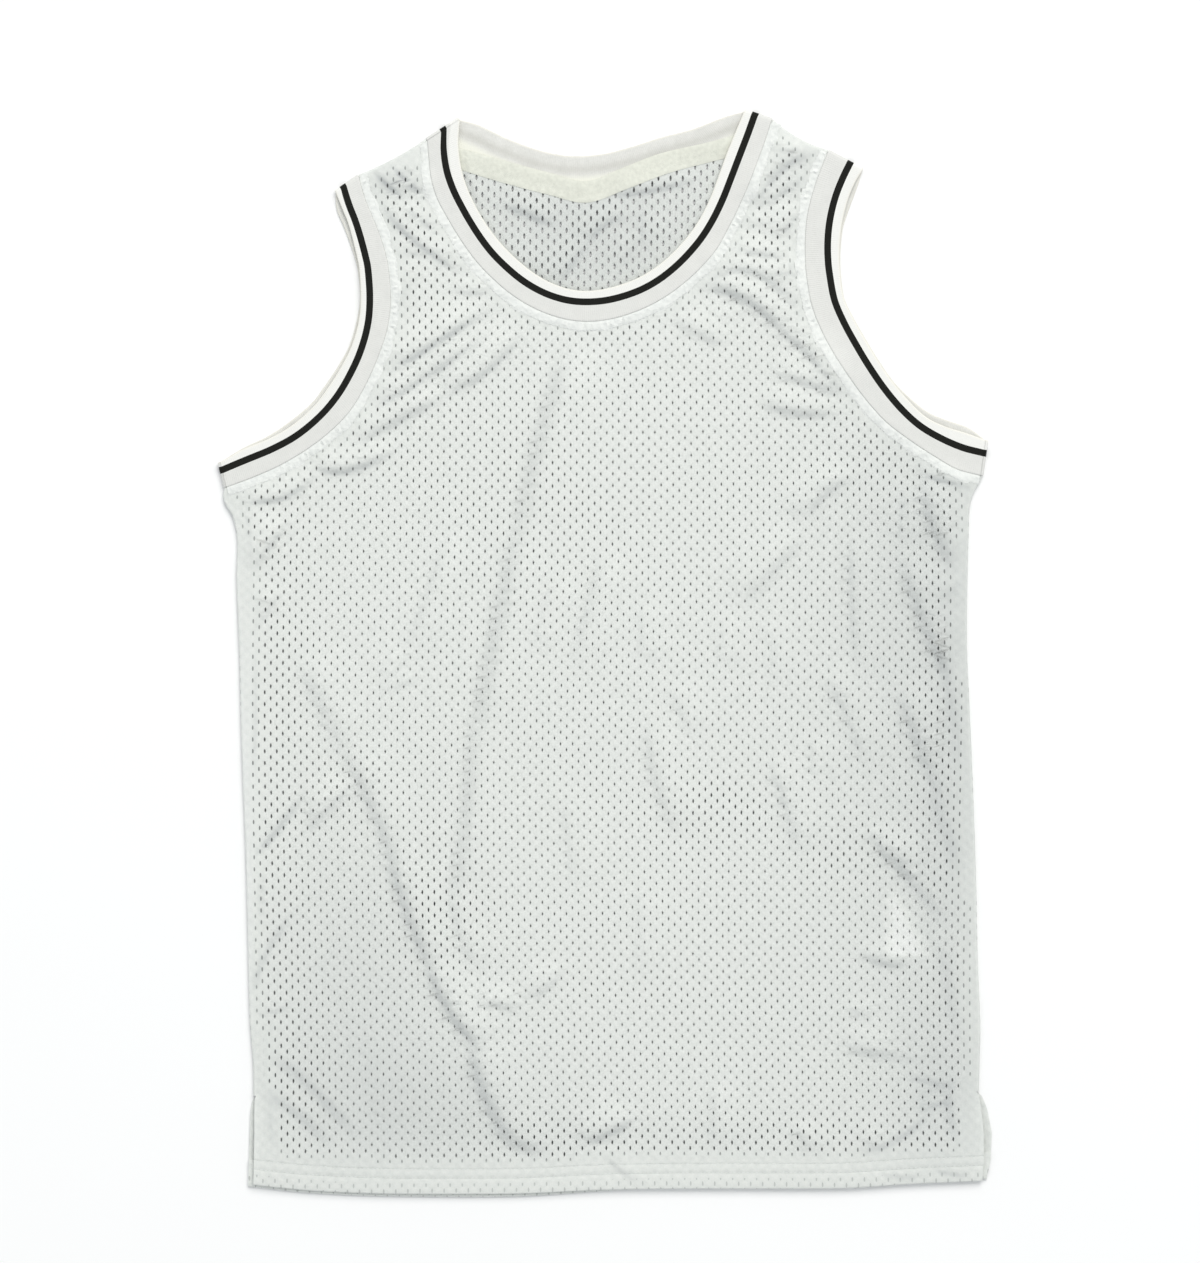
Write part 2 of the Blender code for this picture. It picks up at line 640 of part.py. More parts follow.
def back_neck():
    """The back neckline's stations, pulled in at both shoulders."""
    stretch = along(BACK_NECK, 0, len(BACK_NECK) - 1, BACK_NECK_COLUMNS)
    front = front_edges()
    stretch[0] = front["neck_left"][-1]
    stretch[-1] = front["neck_right"][-1]
    return stretch


def back_panel(collection):
    edges, out = front_edges(), fold_directions()
    left, left_out = side_edge(LEFT_SIDE, BACK_SIDE_ROWS)
    right, right_out = side_edge(RIGHT_SIDE, BACK_SIDE_ROWS)
    neck = back_neck()
    arms = {side: seam(back_armhole(side, edges)) for side in ("left", "right")}
    rows = {
        side: shoulder_row(arms[side][-1], seam(neck)[end], out[side + "_shoulder"], SHOULDER_SAG[side])
        for side, end in (("left", 0), ("right", -1))
    }
    top = np.concatenate([rows["left"], seam(neck)[1:], rows["right"][::-1][1:]])
    hem = hem_grid(LEFT_VENT, RIGHT_VENT, "back", len(top) - 1, back_height, 1)
    bottom = hem[0, :, :2]
    body = coons(
        np.concatenate([vent_edge(LEFT_VENT, "back", bottom[0]), left, arms["left"]]),
        np.concatenate([vent_edge(RIGHT_VENT, "back", bottom[-1]), right, arms["right"]]),
        bottom,
        top,
    )
    grids = [lifted(body, back_height), hem]
    for side, flat, normals in (("left", left, left_out), ("right", right, right_out)):
        grids.append(side_turn(side, flat, normals, edges, out, back_height))
        grids.append(turned(rows[side], out[side + "_shoulder"], back_height))
    return cloth("back_panel", grids, WALL, MESH_CLOTH, collection)


def band_rows(stretch, height):
    """Each station of a band as a row of points from just off the seam to the free edge."""
    across = unit(stretch[:, 0:2] - stretch[:, 2:4])
    inner = stretch[:, 2:4] + across * GAP
    share = np.linspace(0.0, 1.0, BAND_COLUMNS + 1)[None, :, None]
    flat = inner[:, None] + (stretch[:, 0:2] - inner)[:, None] * share
    return lifted(flat, height)


def band_turn(front_row, way):
    """The rows by which a band folds over from the front to the table."""
    middle = (RIB_FRONT_MID + RIB_BACK_MID) / 2
    rows = []
    for angle in np.linspace(0.0, np.pi, RIB_TURN_STEPS + 1)[1:-1]:
        row = front_row.copy()
        row[:, :2] += way * RIB_TURN * np.sin(angle)
        row[:, 2] = middle + RIB_TURN * np.cos(angle)
        rows.append(row)
    return np.array(rows)


def front_band_height(points):
    return front_height(points, RIB_FRONT_MID)


def back_band_height(points):
    return np.full(len(points), RIB_BACK_MID)


def ring(front, back, end_way, start_way):
    """A closed band: its front stations, the fold at their end, its back stations and the other fold."""
    front_rows = band_rows(front, front_band_height)
    back_rows = band_rows(back, back_band_height)
    return np.concatenate(
        [
            front_rows,
            band_turn(front_rows[-1], end_way),
            back_rows,
            band_turn(front_rows[0], start_way)[::-1],
            front_rows[:1],
        ]
    )


def neckband(collection):
    edges, out = front_edges(), fold_directions()
    back = back_neck()
    front = np.concatenate([edges["neck_left"][::-1], edges["neck_arc"][1:], edges["neck_right"][1:]])
    rows = ring(front, back[::-1], out["right_shoulder"], out["left_shoulder"])
    return cloth("neckband", [rows], RIB, RIB_KNIT, collection)


def armband(side, collection):
    edges, out = front_edges(), fold_directions()
    front = np.concatenate([edges[side + "_low"], edges[side + "_up"][1:]])
    back = back_armhole(side, edges)[::-1]
    rows = ring(front, back, out[side + "_shoulder"], out[side + "_underarm"])
    return cloth("armband_" + side, [rows], RIB, RIB_KNIT, collection)


def neck_tape(collection):
    """The tape that covers the back neck seam inside, lying on the back panel."""
    at = np.linspace(*TAPE_ENDS, TAPE_STATIONS + 1)
    stretch = spline(np.array([row[:4] for row in BACK_NECK]), at)
    down = -unit(stretch[:, 0:2] - stretch[:, 2:4])
    near = stretch[:, 2:4] + down * TAPE_OFF_SEAM
    grid = np.stack([near, near + down * TAPE_WIDTH / 2, near + down * TAPE_WIDTH])
    rows = lifted(grid, lambda points: back_height(points) + ON_BACK_MID - BACK_MID)
    return cloth("back_neck_tape", [rows], WALL, TAPE_CLOTH, collection)


def care_label(collection):
    """A blank label inside the side seam, lying on the back panel."""
    x = np.linspace(-0.5, 0.5, LABEL_COLUMNS + 1) * LABEL_SIZE[0]
    y = np.linspace(-0.5, 0.5, LABEL_ROWS + 1) * LABEL_SIZE[1]
    grid = np.stack(np.meshgrid(x, y), axis=-1)
    turn = np.array([[np.cos(LABEL_LEAN), np.sin(LABEL_LEAN)], [-np.sin(LABEL_LEAN), np.cos(LABEL_LEAN)]])
    grid = grid @ turn + np.array(LABEL_CENTRE)
    rows = lifted(grid, lambda points: np.full(len(points), ON_BACK_MID))
    return cloth("care_label", [rows], WALL, LABEL_SATIN, collection)


def clear_scene():
    for thing in list(bpy.data.objects):
        bpy.data.objects.remove(thing, do_unlink=True)


def main():
    clear_scene()
    jersey = bpy.data.collections.new("mesh_jersey")
    bpy.context.scene.collection.children.link(jersey)
    front_panel(jersey)
    back_panel(jersey)
    neckband(jersey)
    for side in ("left", "right"):
        armband(side, jersey)
    neck_tape(jersey)
    care_label(jersey)


main()
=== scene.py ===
"""A sleeveless eyelet-mesh jersey laid flat on a pale table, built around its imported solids.

Cut lines and folds are in millimetres on the table, as the solids have them, and become metres where a
mesh is made. X runs to the viewer's right, Y towards the neck and Z up.
"""

import logging
import math
from dataclasses import dataclass, field
from enum import Enum
from functools import cached_property
from typing import Callable, NamedTuple, Sequence

import bmesh
import bpy
import numpy as np
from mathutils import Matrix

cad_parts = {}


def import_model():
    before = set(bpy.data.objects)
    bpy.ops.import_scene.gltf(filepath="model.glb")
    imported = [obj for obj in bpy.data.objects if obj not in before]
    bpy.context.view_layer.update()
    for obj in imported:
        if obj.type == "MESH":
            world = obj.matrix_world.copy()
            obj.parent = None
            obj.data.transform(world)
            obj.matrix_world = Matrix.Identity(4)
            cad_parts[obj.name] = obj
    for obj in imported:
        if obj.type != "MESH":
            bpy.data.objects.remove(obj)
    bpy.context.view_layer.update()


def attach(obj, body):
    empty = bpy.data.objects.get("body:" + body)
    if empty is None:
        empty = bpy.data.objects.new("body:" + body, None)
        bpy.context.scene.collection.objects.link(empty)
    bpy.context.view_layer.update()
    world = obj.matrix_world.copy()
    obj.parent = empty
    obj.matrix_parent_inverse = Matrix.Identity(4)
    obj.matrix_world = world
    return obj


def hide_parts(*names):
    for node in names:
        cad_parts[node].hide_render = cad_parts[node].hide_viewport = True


LOG = logging.getLogger("jersey")

MM = 0.001
TINY = 0.004
SHARP_ANGLE = 0.75

# Points closer than this become one where strips and layers are joined.
MERGE = 0.02

# The width of the square that the map for baking covers.
BAKE_SPAN = 780.0

# How many places stand for a smooth curve when its length is measured, and for a fold's line.
CURVE_PLACES = 400
FOLD_PLACES = 25

# The way the light comes from. A fold's short side faces away from it and reaches so far to either side
# of the fold's line, but no further than a share of the fold's width.
TOWARDS_LIGHT = np.array([0.5, 0.866])
SHORT_SIDE = 4.2
SHORT_SHARE = 0.5

# A fold's long side dies away over so many widths, and is gone at so many.
LONG_SHARE = 1.3
LONG_END = 3.4

# The share of a fold's length over which each of its ends dies away.
FOLD_TAPER = 0.32

# The sets into which the folds are sorted for the painted shade along them, each in an attribute of its
# own.
CREASE_SETS = 3
CREASE_SHADE = "crease_"

# The middle of the garment's box on the table, which is the origin.
MIDDLE = np.array([-0.13, 1.67])

# Heights of the middle of each layer, and the radii at which the layers turn over, as in the solids.
WALL = 1.0
RIB = 1.6
GAP = 0.3
BACK_MID = WALL / 2
FRONT_MID = 3.2
RIB_BACK_MID = RIB / 2 + 0.01
RIB_FRONT_MID = 3.9
ON_BACK_MID = WALL + GAP + WALL / 2
SIDE_TURN = (FRONT_MID - BACK_MID) / 2
SIDE_INSET = SIDE_TURN + WALL / 2
RIB_TURN = (RIB_FRONT_MID - RIB_BACK_MID) / 2
RIB_INSET = RIB_TURN + RIB / 2
HEM_DEPTH = 18.5
HEM_RADIUS = (WALL + GAP) / 2

# What the dressed cloth measures: the panels and the bands are a little thinner than their solids.
CLOTH = 0.8
RIB_CLOTH = 1.5

# The attribute with the painted shade on each panel; below 0 it is painted light.
PAINTED_SHADE = "pressed"

# The attribute with the painted shade in the eyelets, and its level where nothing says more, which also
# sizes the eyelets.
EYELET_SHADE = "open"
FRONT_OPEN = 0.2
BACK_OPEN = 1.0

# Half an eyelet's width and height.
FRONT_EYELET = (0.55, 1.35)
BACK_EYELET = (0.68, 1.6)

Points = np.ndarray
Measure = Callable[[Points], Points]
Pair = tuple[float, float]
Colour = tuple[float, float, float]
Piece = bpy.types.Object
Shape = bmesh.types.BMesh
Finish = bpy.types.Material
Socket = bpy.types.NodeSocket


class Layer(Enum):
    """The two layers of the garment as it lies."""

    FRONT = "front"
    BACK = "back"

    @property
    def up(self) -> int:
        """1 where the layer's outer side faces up, and -1 where it faces the table."""
        return 1 if self is Layer.FRONT else -1


class Side(Enum):
    """The two sides of the garment as the viewer sees it."""

    LEFT = "left"
    RIGHT = "right"


class Skin(Enum):
    """The material slots of a rib band's mesh."""

    OUTSIDE = 0
    STRIPE = 1
    INSIDE = 2


class Station(NamedTuple):
    """A station along a band: free edge, seam edge, the back layer's showing, the stripe's share."""

    free_x: float
    free_y: float
    seam_x: float
    seam_y: float
    back_out: float
    stripe: float


class Spot(NamedTuple):
    """A point on the table."""

    x: float
    y: float


class VentEdge(NamedTuple):
    """The two panels' edges beside a vent."""

    y: float
    front: float
    back: float


class HemPoint(NamedTuple):
    """The two panels' bottom edges at a place across the hem."""

    x: float
    front: float
    back: float


class Fold(NamedTuple):
    """A crease through three points, its height, its half width and the depth of the painted shade along
    it.
    """

    x0: float
    y0: float
    x1: float
    y1: float
    x2: float
    y2: float
    height: float
    width: float
    shade: float


class Swell(NamedTuple):
    """A soft oval patch: used as a broad rise of the cloth, and as a patch of painted shade or painted
    light.
    """

    x: float
    y: float
    reach_x: float
    reach_y: float
    height: float

    def at(self, points: Points) -> Points:
        """How much of it there is at each point."""
        away = ((points[:, 0] - self.x) / self.reach_x) ** 2
        away += ((points[:, 1] - self.y) / self.reach_y) ** 2
        return self.height * np.exp(-away)


# The neck's stations from the left shoulder to the right, and where its straps begin, counted in them.
FRONT_NECK = [Station(*row) for row in (
    (-97.5, 364, -120, 349.5, 0, 0.490),
    (-98.5, 349.5, -119, 339, 0, 0.495),
    (-98, 337, -118.5, 329, 0, 0.485),
    (-95, 322.5, -115.5, 314, 0, 0.440),
    (-90, 309.5, -110, 302, 0, 0.416),
    (-82, 294.5, -100, 284.5, 0, 0.411),
    (-68.5, 276.5, -84, 262.5, 0, 0.422),
    (-49, 259, -60.5, 241.5, 0, 0.415),
    (-30, 249, -35.5, 229, 0, 0.387),
    (-12.5, 246, -12.5, 225, 0, 0.360),
    (5, 248.5, 10, 228, 0, 0.382),
    (24, 255.5, 34, 237.5, 0, 0.402),
    (41, 267, 55, 252, 0, 0.398),
    (57, 284, 74, 271.5, 0, 0.390),
    (68.5, 302.5, 86.5, 293.5, 0, 0.405),
    (76.5, 322.5, 96, 314, 0, 0.402),
    (82.5, 339, 103, 332, 0, 0.408),
    (88, 352.5, 108, 345.5, 0, 0.402),
    (95, 369, 113.5, 362.5, 0, 0.385),
)]
NECK_CORNERS = (6.0, 12.5)

BACK_NECK = [Station(*row) for row in (
    (-97.5, 364, -120, 349.5, 0, 0.470),
    (-90, 360.5, -107, 340.5, 0, 0.440),
    (-77.5, 354, -88, 334.5, 0, 0.410),
    (-57.5, 345.5, -64, 327.5, 0, 0.400),
    (-35, 338.5, -37.5, 320.5, 0, 0.400),
    (-12.5, 337, -12, 315, 0, 0.400),
    (10.5, 341, 14.5, 324.5, 0, 0.400),
    (32.5, 348, 39.5, 334, 0, 0.400),
    (57.5, 354.5, 68, 341, 0, 0.400),
    (78, 362, 90, 346.5, 0, 0.400),
    (88, 366.5, 104.5, 352.5, 0, 0.390),
    (95, 369, 113.5, 362.5, 0, 0.385),
)]

# Each armhole's stations from the shoulder to the underarm, and where the strap ends, counted in them.
LEFT_ARM = [Station(*row) for row in (
    (-182, 314, -166, 325, 0, 0.345),
    (-177.5, 302.5, -161.5, 309, 3.5, 0.318),
    (-173, 291.5, -156.5, 296.5, 3.5, 0.306),
    (-169, 277, -150, 280, 2.2, 0.298),
    (-165.5, 260, -145.5, 261.5, 1, 0.304),
    (-164.5, 241.5, -144, 240.5, 0.5, 0.306),
    (-166.5, 222.5, -147, 217, 1.5, 0.332),
    (-173, 203.5, -155, 195.5, 1.5, 0.368),
    (-183.5, 185.5, -167, 171, 2.5, 0.390),
    (-194, 170.5, -182.5, 153, 2.5, 0.388),
    (-210.5, 155.5, -201, 138.5, 3, 0.392),
    (-231, 144, -224.5, 125, 1.5, 0.368),
    (-247.5, 137.5, -242, 118, 0.7, 0.362),
    (-261, 129.5, -257, 112.5, 0, 0.315),
)]
RIGHT_ARM = [Station(*row) for row in (
    (175, 329, 151, 341.5, 0, 0.366),
    (168, 317, 145, 326.5, 2.6, 0.355),
    (163.5, 305, 139.5, 310, 2.8, 0.360),
    (160, 290, 136, 293.5, 1.2, 0.354),
    (158.5, 273.5, 135, 275, 0.8, 0.346),
    (159, 257.5, 136, 255.5, 0.5, 0.315),
    (161.5, 240.5, 139.5, 236, 0.5, 0.286),
    (169.5, 224, 148, 215, 0.6, 0.300),
    (179, 207.5, 159, 196, 0.8, 0.305),
    (187.5, 194, 170, 180.5, 0.8, 0.324),
    (197, 181, 180.5, 167, 1, 0.333),
    (208, 169, 193.5, 154, 2.4, 0.360),
    (221.5, 157.5, 211, 141.5, 4, 0.386),
    (233.5, 153.5, 225, 132.5, 4.4, 0.402),
    (245.5, 149.5, 238.5, 125, 3.6, 0.400),
    (259, 144.5, 255.5, 120.5, 0, 0.364),
)]
ARMS = {Side.LEFT: LEFT_ARM, Side.RIGHT: RIGHT_ARM}
ARM_BASES = {Side.LEFT: 4.0, Side.RIGHT: 5.0}

# How far each shoulder's edge dips in the middle.
SHOULDER_SAG = {Side.LEFT: 1.6, Side.RIGHT: 2.6}

# Each side's outermost line from the underarm down to the vent.
LEFT_SIDE = [Spot(*row) for row in (
    (-257, 112.5),
    (-257.5, 107),
    (-255.5, 101),
    (-251.5, 94.5),
    (-248.8, 85),
    (-247.8, 74),
    (-248.5, 54),
    (-247.5, 25),
    (-246.5, 0),
    (-245.5, -45),
    (-244, -90),
    (-242, -140),
    (-240.7, -200),
    (-239.5, -245),
    (-237.2, -275),
    (-237, -297),
)]
RIGHT_SIDE = [Spot(*row) for row in (
    (255.5, 120.5),
    (252.8, 116),
    (249, 109),
    (246.7, 100.5),
    (246, 90),
    (245.4, 65),
    (244.7, 30),
    (244.9, 0),
    (246.7, -40),
    (248.7, -87),
    (250.8, -148),
    (252, -205),
    (253.7, -248),
    (253.2, -275),
    (252.8, -294),
)]
SIDES = {Side.LEFT: LEFT_SIDE, Side.RIGHT: RIGHT_SIDE}

LEFT_VENT = [VentEdge(*row) for row in (
    (-297, -236, -237),
    (-308, -236.2, -239),
    (-324, -236.2, -239.6),
    (-340, -236.4, -240),
    (-357, -236.8, -240.4),
)]
RIGHT_VENT = [VentEdge(*row) for row in (
    (-294, 252, 253.2),
    (-305, 254, 258),
    (-322, 255.8, 261.4),
    (-340, 255.8, 260.6),
    (-355, 254.8, 257.4),
)]
VENTS = {Side.LEFT: LEFT_VENT, Side.RIGHT: RIGHT_VENT}

HEM = [HemPoint(*row) for row in (
    (-240, -357, -358.5),
    (-200, -361, -362.8),
    (-150, -363.2, -365),
    (-60, -363.2, -365.2),
    (0, -360.6, -361.6),
    (60, -359.8, -358.8),
    (160, -359.6, -358.2),
    (205, -356.8, -355.8),
    (255, -354.6, -353.6),
)]
HEM_ENDS = (-236.0, 255.0)

# Each fold of the front, along the line where its short side falls away: the solids' main folds and the
# finer ones between them, each with the depth of the painted shade along it.
FRONT_FOLDS = [Fold(*row) for row in (
    (-150.9, 307.5, -129.9, 281.8, -88.1, 253.5, 3, 7, 1.5),
    (-138, 304.1, -121.8, 292.6, -111, 281.8, 2.2, 5, 1.1),
    (-156.9, 327, -146, 318, -134, 306, 3, 7, 1.4),
    (-146, 332, -132, 320, -116, 306, 2.6, 7, 1.25),
    (-104.3, 248.1, -90.8, 244.7, -77.3, 248.1, 2.6, 5, 0.55),
    (-148.8, 190, -117.8, 208.9, -70.5, 238.6, 4.8, 8, 1.3),
    (-158.3, 167.1, -124.5, 186, -70.5, 223.8, 4, 8, 0.95),
    (-174.5, 138.7, -139.4, 159, -102.9, 176.5, 4, 9, 0.75),
    (-112.4, 175.2, -79.3, 192.7, -54.3, 221.1, 4.2, 9, 0.8),
    (-196.1, 130.6, -173.1, 125.2, -132.6, 144.1, 4.2, 8, 1),
    (-251.4, 105, -216.3, 107, -193.4, 126.6, 3.2, 6, 1.1),
    (-139.4, 269.7, -129.9, 271.7, -120.5, 267.6, 1.6, 5, 0.4),
    (-138.7, 236.6, -132.6, 249.4, -123.2, 260.2, 1.6, 5, 0.35),
    (-135.3, 265.6, -134, 250.8, -136.7, 231.9, 1.2, 5, 0.25),
    (-18.6, 216.3, -41.5, 152.2, -61.1, 64.5, 5.6, 17, 0.55),
    (-50.3, 115.8, -73.2, 14.5, -89.4, -73.9, 5.8, 17, 0.55),
    (-88.1, -30, -92.1, -105.6, -104.3, -181.9, 4.4, 15, 0.45),
    (-102.9, -151.5, -98.2, -185.3, -81.3, -217.7, 2.6, 9, 0.35),
    (-84, -233.2, -70.5, -235.9, -59.7, -241.3, 3.4, 6, 0.6),
    (-55.7, -232.5, -39.5, -223.8, -26.7, -206.9, 2.8, 7, 0.45),
    (-237.9, 57.7, -227.1, 72.6, -212.3, 94.2, 4.4, 7, 0.9),
    (-102.9, 88.1, -117.8, 42.9, -135.3, -3, 2.9, 10, 0.4),
    (-148.8, -16.5, -139.4, -8.4, -131.3, 2.4, 1.7, 6, 0.25),
    (-150.2, -25.3, -136.7, -19.2, -127.2, -15.2, 1.6, 5, 0.25),
    (-0.3, 75.3, -9.8, 34.1, -23.3, -13.8, 2.6, 11, 0.4),
    (-28.7, 59.1, -40.2, 30.7, -48.3, 0.3, 1.6, 9, 0.25),
    (-239.3, 15.9, -229.8, 28, -216.3, 46.9, 3, 7, 0.7),
    (-208.2, 0.3, -190.7, -33.4, -171.8, -71.9, 2.6, 14, 0.35),
    (-30, -87.4, -24, -123.2, -20.6, -158.3, 1.6, 10, 0.25),
    (-241.3, 105, -239.3, 84.7, -237.3, 63.1, 1.4, 6, 0.8),
    (-235.2, 10.5, -234.6, -40.2, -236.6, -97.5, 1.4, 7, 0.6),
    (-181.2, -53.7, -156.9, -100.9, -136.7, -150.2, 3.4, 13, 0.6),
    (-147.5, -121.8, -132.6, -173.1, -109.7, -225.8, 4.4, 12, 0.85),
    (-120.5, -202.8, -104.3, -239.3, -77.3, -271.7, 5.4, 10, 1.1),
    (-90, -256, -82, -292, -63.8, -325.7, 4.4, 13, 0.85),
    (-74, -308, -60, -328, -36, -334, 3.4, 14, 0.65),
    (-239.3, -136.7, -223.1, -119.1, -200.1, -88.1, 6, 9, 1.1),
    (-206.9, -124.5, -188.7, -105.6, -167.1, -82.7, 4, 8, 0.6),
    (-235.2, -232.5, -228.5, -204.2, -201.5, -165, 4, 9, 0.75),
    (-236.6, -240, -225.8, -240.6, -212.3, -235.2, 3, 5, 0.8),
    (-231.2, -185.3, -230.5, -165, -229.2, -143.4, 3, 7, 0.7),
    (-226, -272, -200, -288, -159.6, -334, 5.6, 12, 0.75),
    (-232, -293.3, -208, -308.1, -180, -333.8, 5, 12, 0.75),
    (-225.8, -297.3, -224.4, -316.9, -221.1, -335.1, 2.4, 8, 0.3),
    (136, 88.8, 146.8, 107.7, 171.1, 122.5, 3.8, 9, 0.55),
    (90.1, 33.4, 113.1, 56.4, 136, 84.7, 2.8, 12, 0.4),
    (167.7, 88.1, 167.7, 37.5, 171.1, -19.2, 2.9, 9, 0.45),
    (144.1, -11.1, 163, -38.1, 176.5, -84, 2.8, 9, 0.4),
    (110.4, -67.8, 122.5, -100.9, 131.3, -138, 3, 10, 0.45),
    (29.4, -30, 34.8, -84, 55, -127.2, 2.9, 12, 0.4),
    (40.2, -19.2, 51, -36.8, 59.7, -55.7, 1.8, 9, 0.3),
    (24.6, 38.8, 25.3, 15.9, 24, -6.4, 1.6, 9, 0.25),
    (80, 29.4, 79.3, 10.5, 76.6, -8.4, 1.6, 8, 0.3),
    (140.1, -53.7, 140.1, -67.2, 139.4, -84, 1.2, 7, 0.25),
    (105, 24, 113.1, 3.7, 115.8, -23.3, 1.4, 8, 0.2),
    (20.6, -151.5, 24, -185.3, 18.6, -219, 1.3, 11, 0.15),
    (202.2, 118.5, 201.5, 94.8, 198.8, 72.6, 2.2, 7, 0.4),
    (72.6, -286.5, 73.9, -310.2, 73.2, -333.8, 2, 8, 0.3),
    (128.6, -314.9, 134, -327, 140.7, -337.8, 3, 6, 0.5),
    (216, 124, 221, 90, 242, 50, 5, 12, 0.65),
    (229.2, 37.5, 235.9, 45.6, 245.4, 55.7, 3.6, 5, 0.45),
    (197, 76, 216, 22, 235.9, -23.3, 4.8, 13, 0.5),
    (221, 20, 234, -28, 239, -84, 3.8, 13, 0.4),
    (196, -14, 213, -62, 235.9, -112, 4.8, 13, 0.5),
    (216, -84, 231, -118, 240, -152, 4.2, 14, 0.45),
    (228, -190, 233, -222, 239, -262, 3.8, 15, 0.4),
    (205, -302, 222, -292, 244, -286, 2.6, 10, 0.35),
    (211.6, 124.5, 229.8, 117.8, 250.8, 113.1, 3, 5, 1),
    (176.5, -116.4, 186, -128.6, 194.1, -143.4, 3, 8, 0.5),
    (186, -122, 207.6, -152, 236, -184, 4.6, 13, 0.6),
    (100.9, 298, 117.1, 326.4, 149.5, 342.6, 4.4, 8, 0.9),
    (100.2, 300.7, 119.8, 312.2, 137.4, 323.7, 3.2, 6, 0.75),
    (111.7, 279.1, 123.9, 289.9, 133.3, 306.1, 3.8, 7, 0.8),
    (86.1, 275.7, 105, 271, 125.2, 269.7, 3.4, 6, 0.9),
    (111.7, 255.5, 122.5, 258.2, 133.3, 256.2, 3.2, 5, 0.9),
    (69.9, 254.1, 103.6, 257.5, 138.7, 223.8, 4.4, 8, 0.9),
    (64.5, 248.7, 96.9, 239.3, 129.3, 208.9, 6.2, 9, 1.05),
    (117.1, 221.1, 138.7, 202.2, 163.7, 172.5, 5, 8, 1),
    (113.1, 191.4, 136, 183.9, 165, 173.8, 4, 8, 0.65),
    (106.3, 174.5, 125.2, 164.4, 165.7, 163.7, 3.8, 9, 0.6),
    (45.6, 229.2, 64.5, 216.3, 85.4, 208.2, 2.8, 8, 0.45),
    (95.5, 286.5, 101.6, 290.6, 109.7, 289.9, 2, 5, 0.4),
    (109, 345.9, 122.5, 340.5, 136, 343.2, 2.4, 5, 0.6),
    (75.3, 225.1, 82, 227.8, 90.1, 225.1, 1.2, 5, 0.2),
    (172, -198, 188.7, -207.5, 208, -206, 3, 8, 0.55),
    (160, -262, 186, -269, 228, -272, 3, 10, 0.35),
    (166.4, -233.9, 171.1, -241.3, 181.9, -246.7, 2.2, 6, 0.4),
    (171.1, -333.8, 195.4, -327, 223.8, -304.1, 5.4, 8, 0.8),
    (210.3, -309.5, 222.4, -302.7, 237.3, -301.4, 3.8, 7, 0.8),
    (199.5, -283.8, 218.4, -286.5, 234.6, -291.9, 3.4, 8, 0.6),
    (236, -284, 233.2, -306, 240, -330, 4, 11, 0.55),
    (-16.5, -329.7, 2.4, -322.3, 22.6, -309.5, 4.2, 8, 0.8),
    (-0.3, -333.8, 9.1, -345.3, 26.7, -356.7, 3.4, 5, 0.55),
    (186, -348.6, 200.8, -351.3, 214.3, -350, 3, 5, 0.65),
    (219.7, -345.3, 234.6, -349.3, 246.7, -349.3, 3, 5, 0.75),
)]

# The back's folds. Those with a shade of 0 lie under the front.
BACK_FOLDS = [Fold(*row) for row in (
    (-71.9, 305.4, -51.6, 298, -30, 288.6, 2.2, 8, 1),
    (-32.7, 248.1, -21.9, 265.6, -8.4, 279.8, 1.8, 8, 0.7),
    (-13.8, 275.1, -1.7, 289.9, 17.2, 298, 2, 8, 0.8),
    (1, 310.2, 30.7, 314.2, 67.2, 322.3, 1.8, 7, 1),
    (32.1, 272.4, 25.3, 289.9, 29.4, 304.8, 1.3, 8, 0.4),
    (56.4, 279.1, 65.8, 298, 72.6, 315.6, 1.4, 8, 0.5),
    (-70.5, 273.7, -57, 265.6, -46.2, 253.5, 1.2, 8, 0.3),
    (7.8, 260.2, 18.6, 273.7, 24, 285.9, 1.2, 7, 0.35),
    (-96.2, 341.2, -90.8, 321, -82.7, 302.1, 0.6, 5, 0.7),
    (-120, 240, -150, 205, -192, 150, 0.9, 13, 0),
    (116, 232, 138, 190, 186, 140, 0.9, 13, 0),
    (-212, 30, -160, -10, -120, -62, 0.8, 14, 0),
    (200, -40, 168, -120, 150, -190, 0.8, 14, 0),
    (-196, -180, -150, -232, -96, -292, 0.9, 14, 0),
)]

# Where air lies under the front.
FRONT_SWELLS = [Swell(*row) for row in (
    (-20, 150, 120, 70, 1.6),
    (60, 20, 150, 110, 1.8),
    (-150, -10, 70, 120, 1.4),
    (40, -190, 130, 90, 1.6),
    (-130, -290, 90, 40, 1.2),
)]

# Painted shade where each panel lies close on the layer below, and painted light where it stands off,
# given below 0.
FRONT_SHADES = [Swell(*row) for row in (
    (-172, -235, 62, 105, 0.5),
    (-122, -300, 84, 42, 0.5),
    (-244, -170, 9, 190, -0.35),
    (236, -60, 24, 220, 0.5),
    (208, 70, 50, 95, 0.45),
    (214, -120, 42, 150, 0.4),
    (228, -290, 40, 55, 0.5),
    (165, -70, 72, 300, 0.2),
    (0, -324, 270, 15, 0.3),
    (-143, 320, 20, 15, 0.5),
    (128, 324, 18, 14, 0.4),
)]
BACK_SHADES = [Swell(-12, 285, 78, 62, 0.6)]

# Where the front stands off the layer below: its eyelets are cut larger there and get more painted shade.
FRONT_GAPS = [Swell(*row) for row in (
    (-138, 277, 45, 62, 0.8),
    (-155, 179, 52, 45, 0.45),
    (-230, -91, 30, 240, 0.65),
    (-111, -168, 26, 42, 0.75),
    (-171, -86, 24, 20, 0.6),
    (-214, -293, 24, 44, 0.6),
    (-30, -326, 48, 16, 0.9),
    (132, -328, 130, 15, 0.7),
    (75, -104, 36, 20, 0.6),
    (172, -131, 32, 17, 0.6),
    (234, -70, 24, 240, 0.7),
    (115, 300, 42, 55, 0.55),
    (196, 140, 50, 38, 0.5),
    (-60, 90, 60, 60, 0.25),
)]


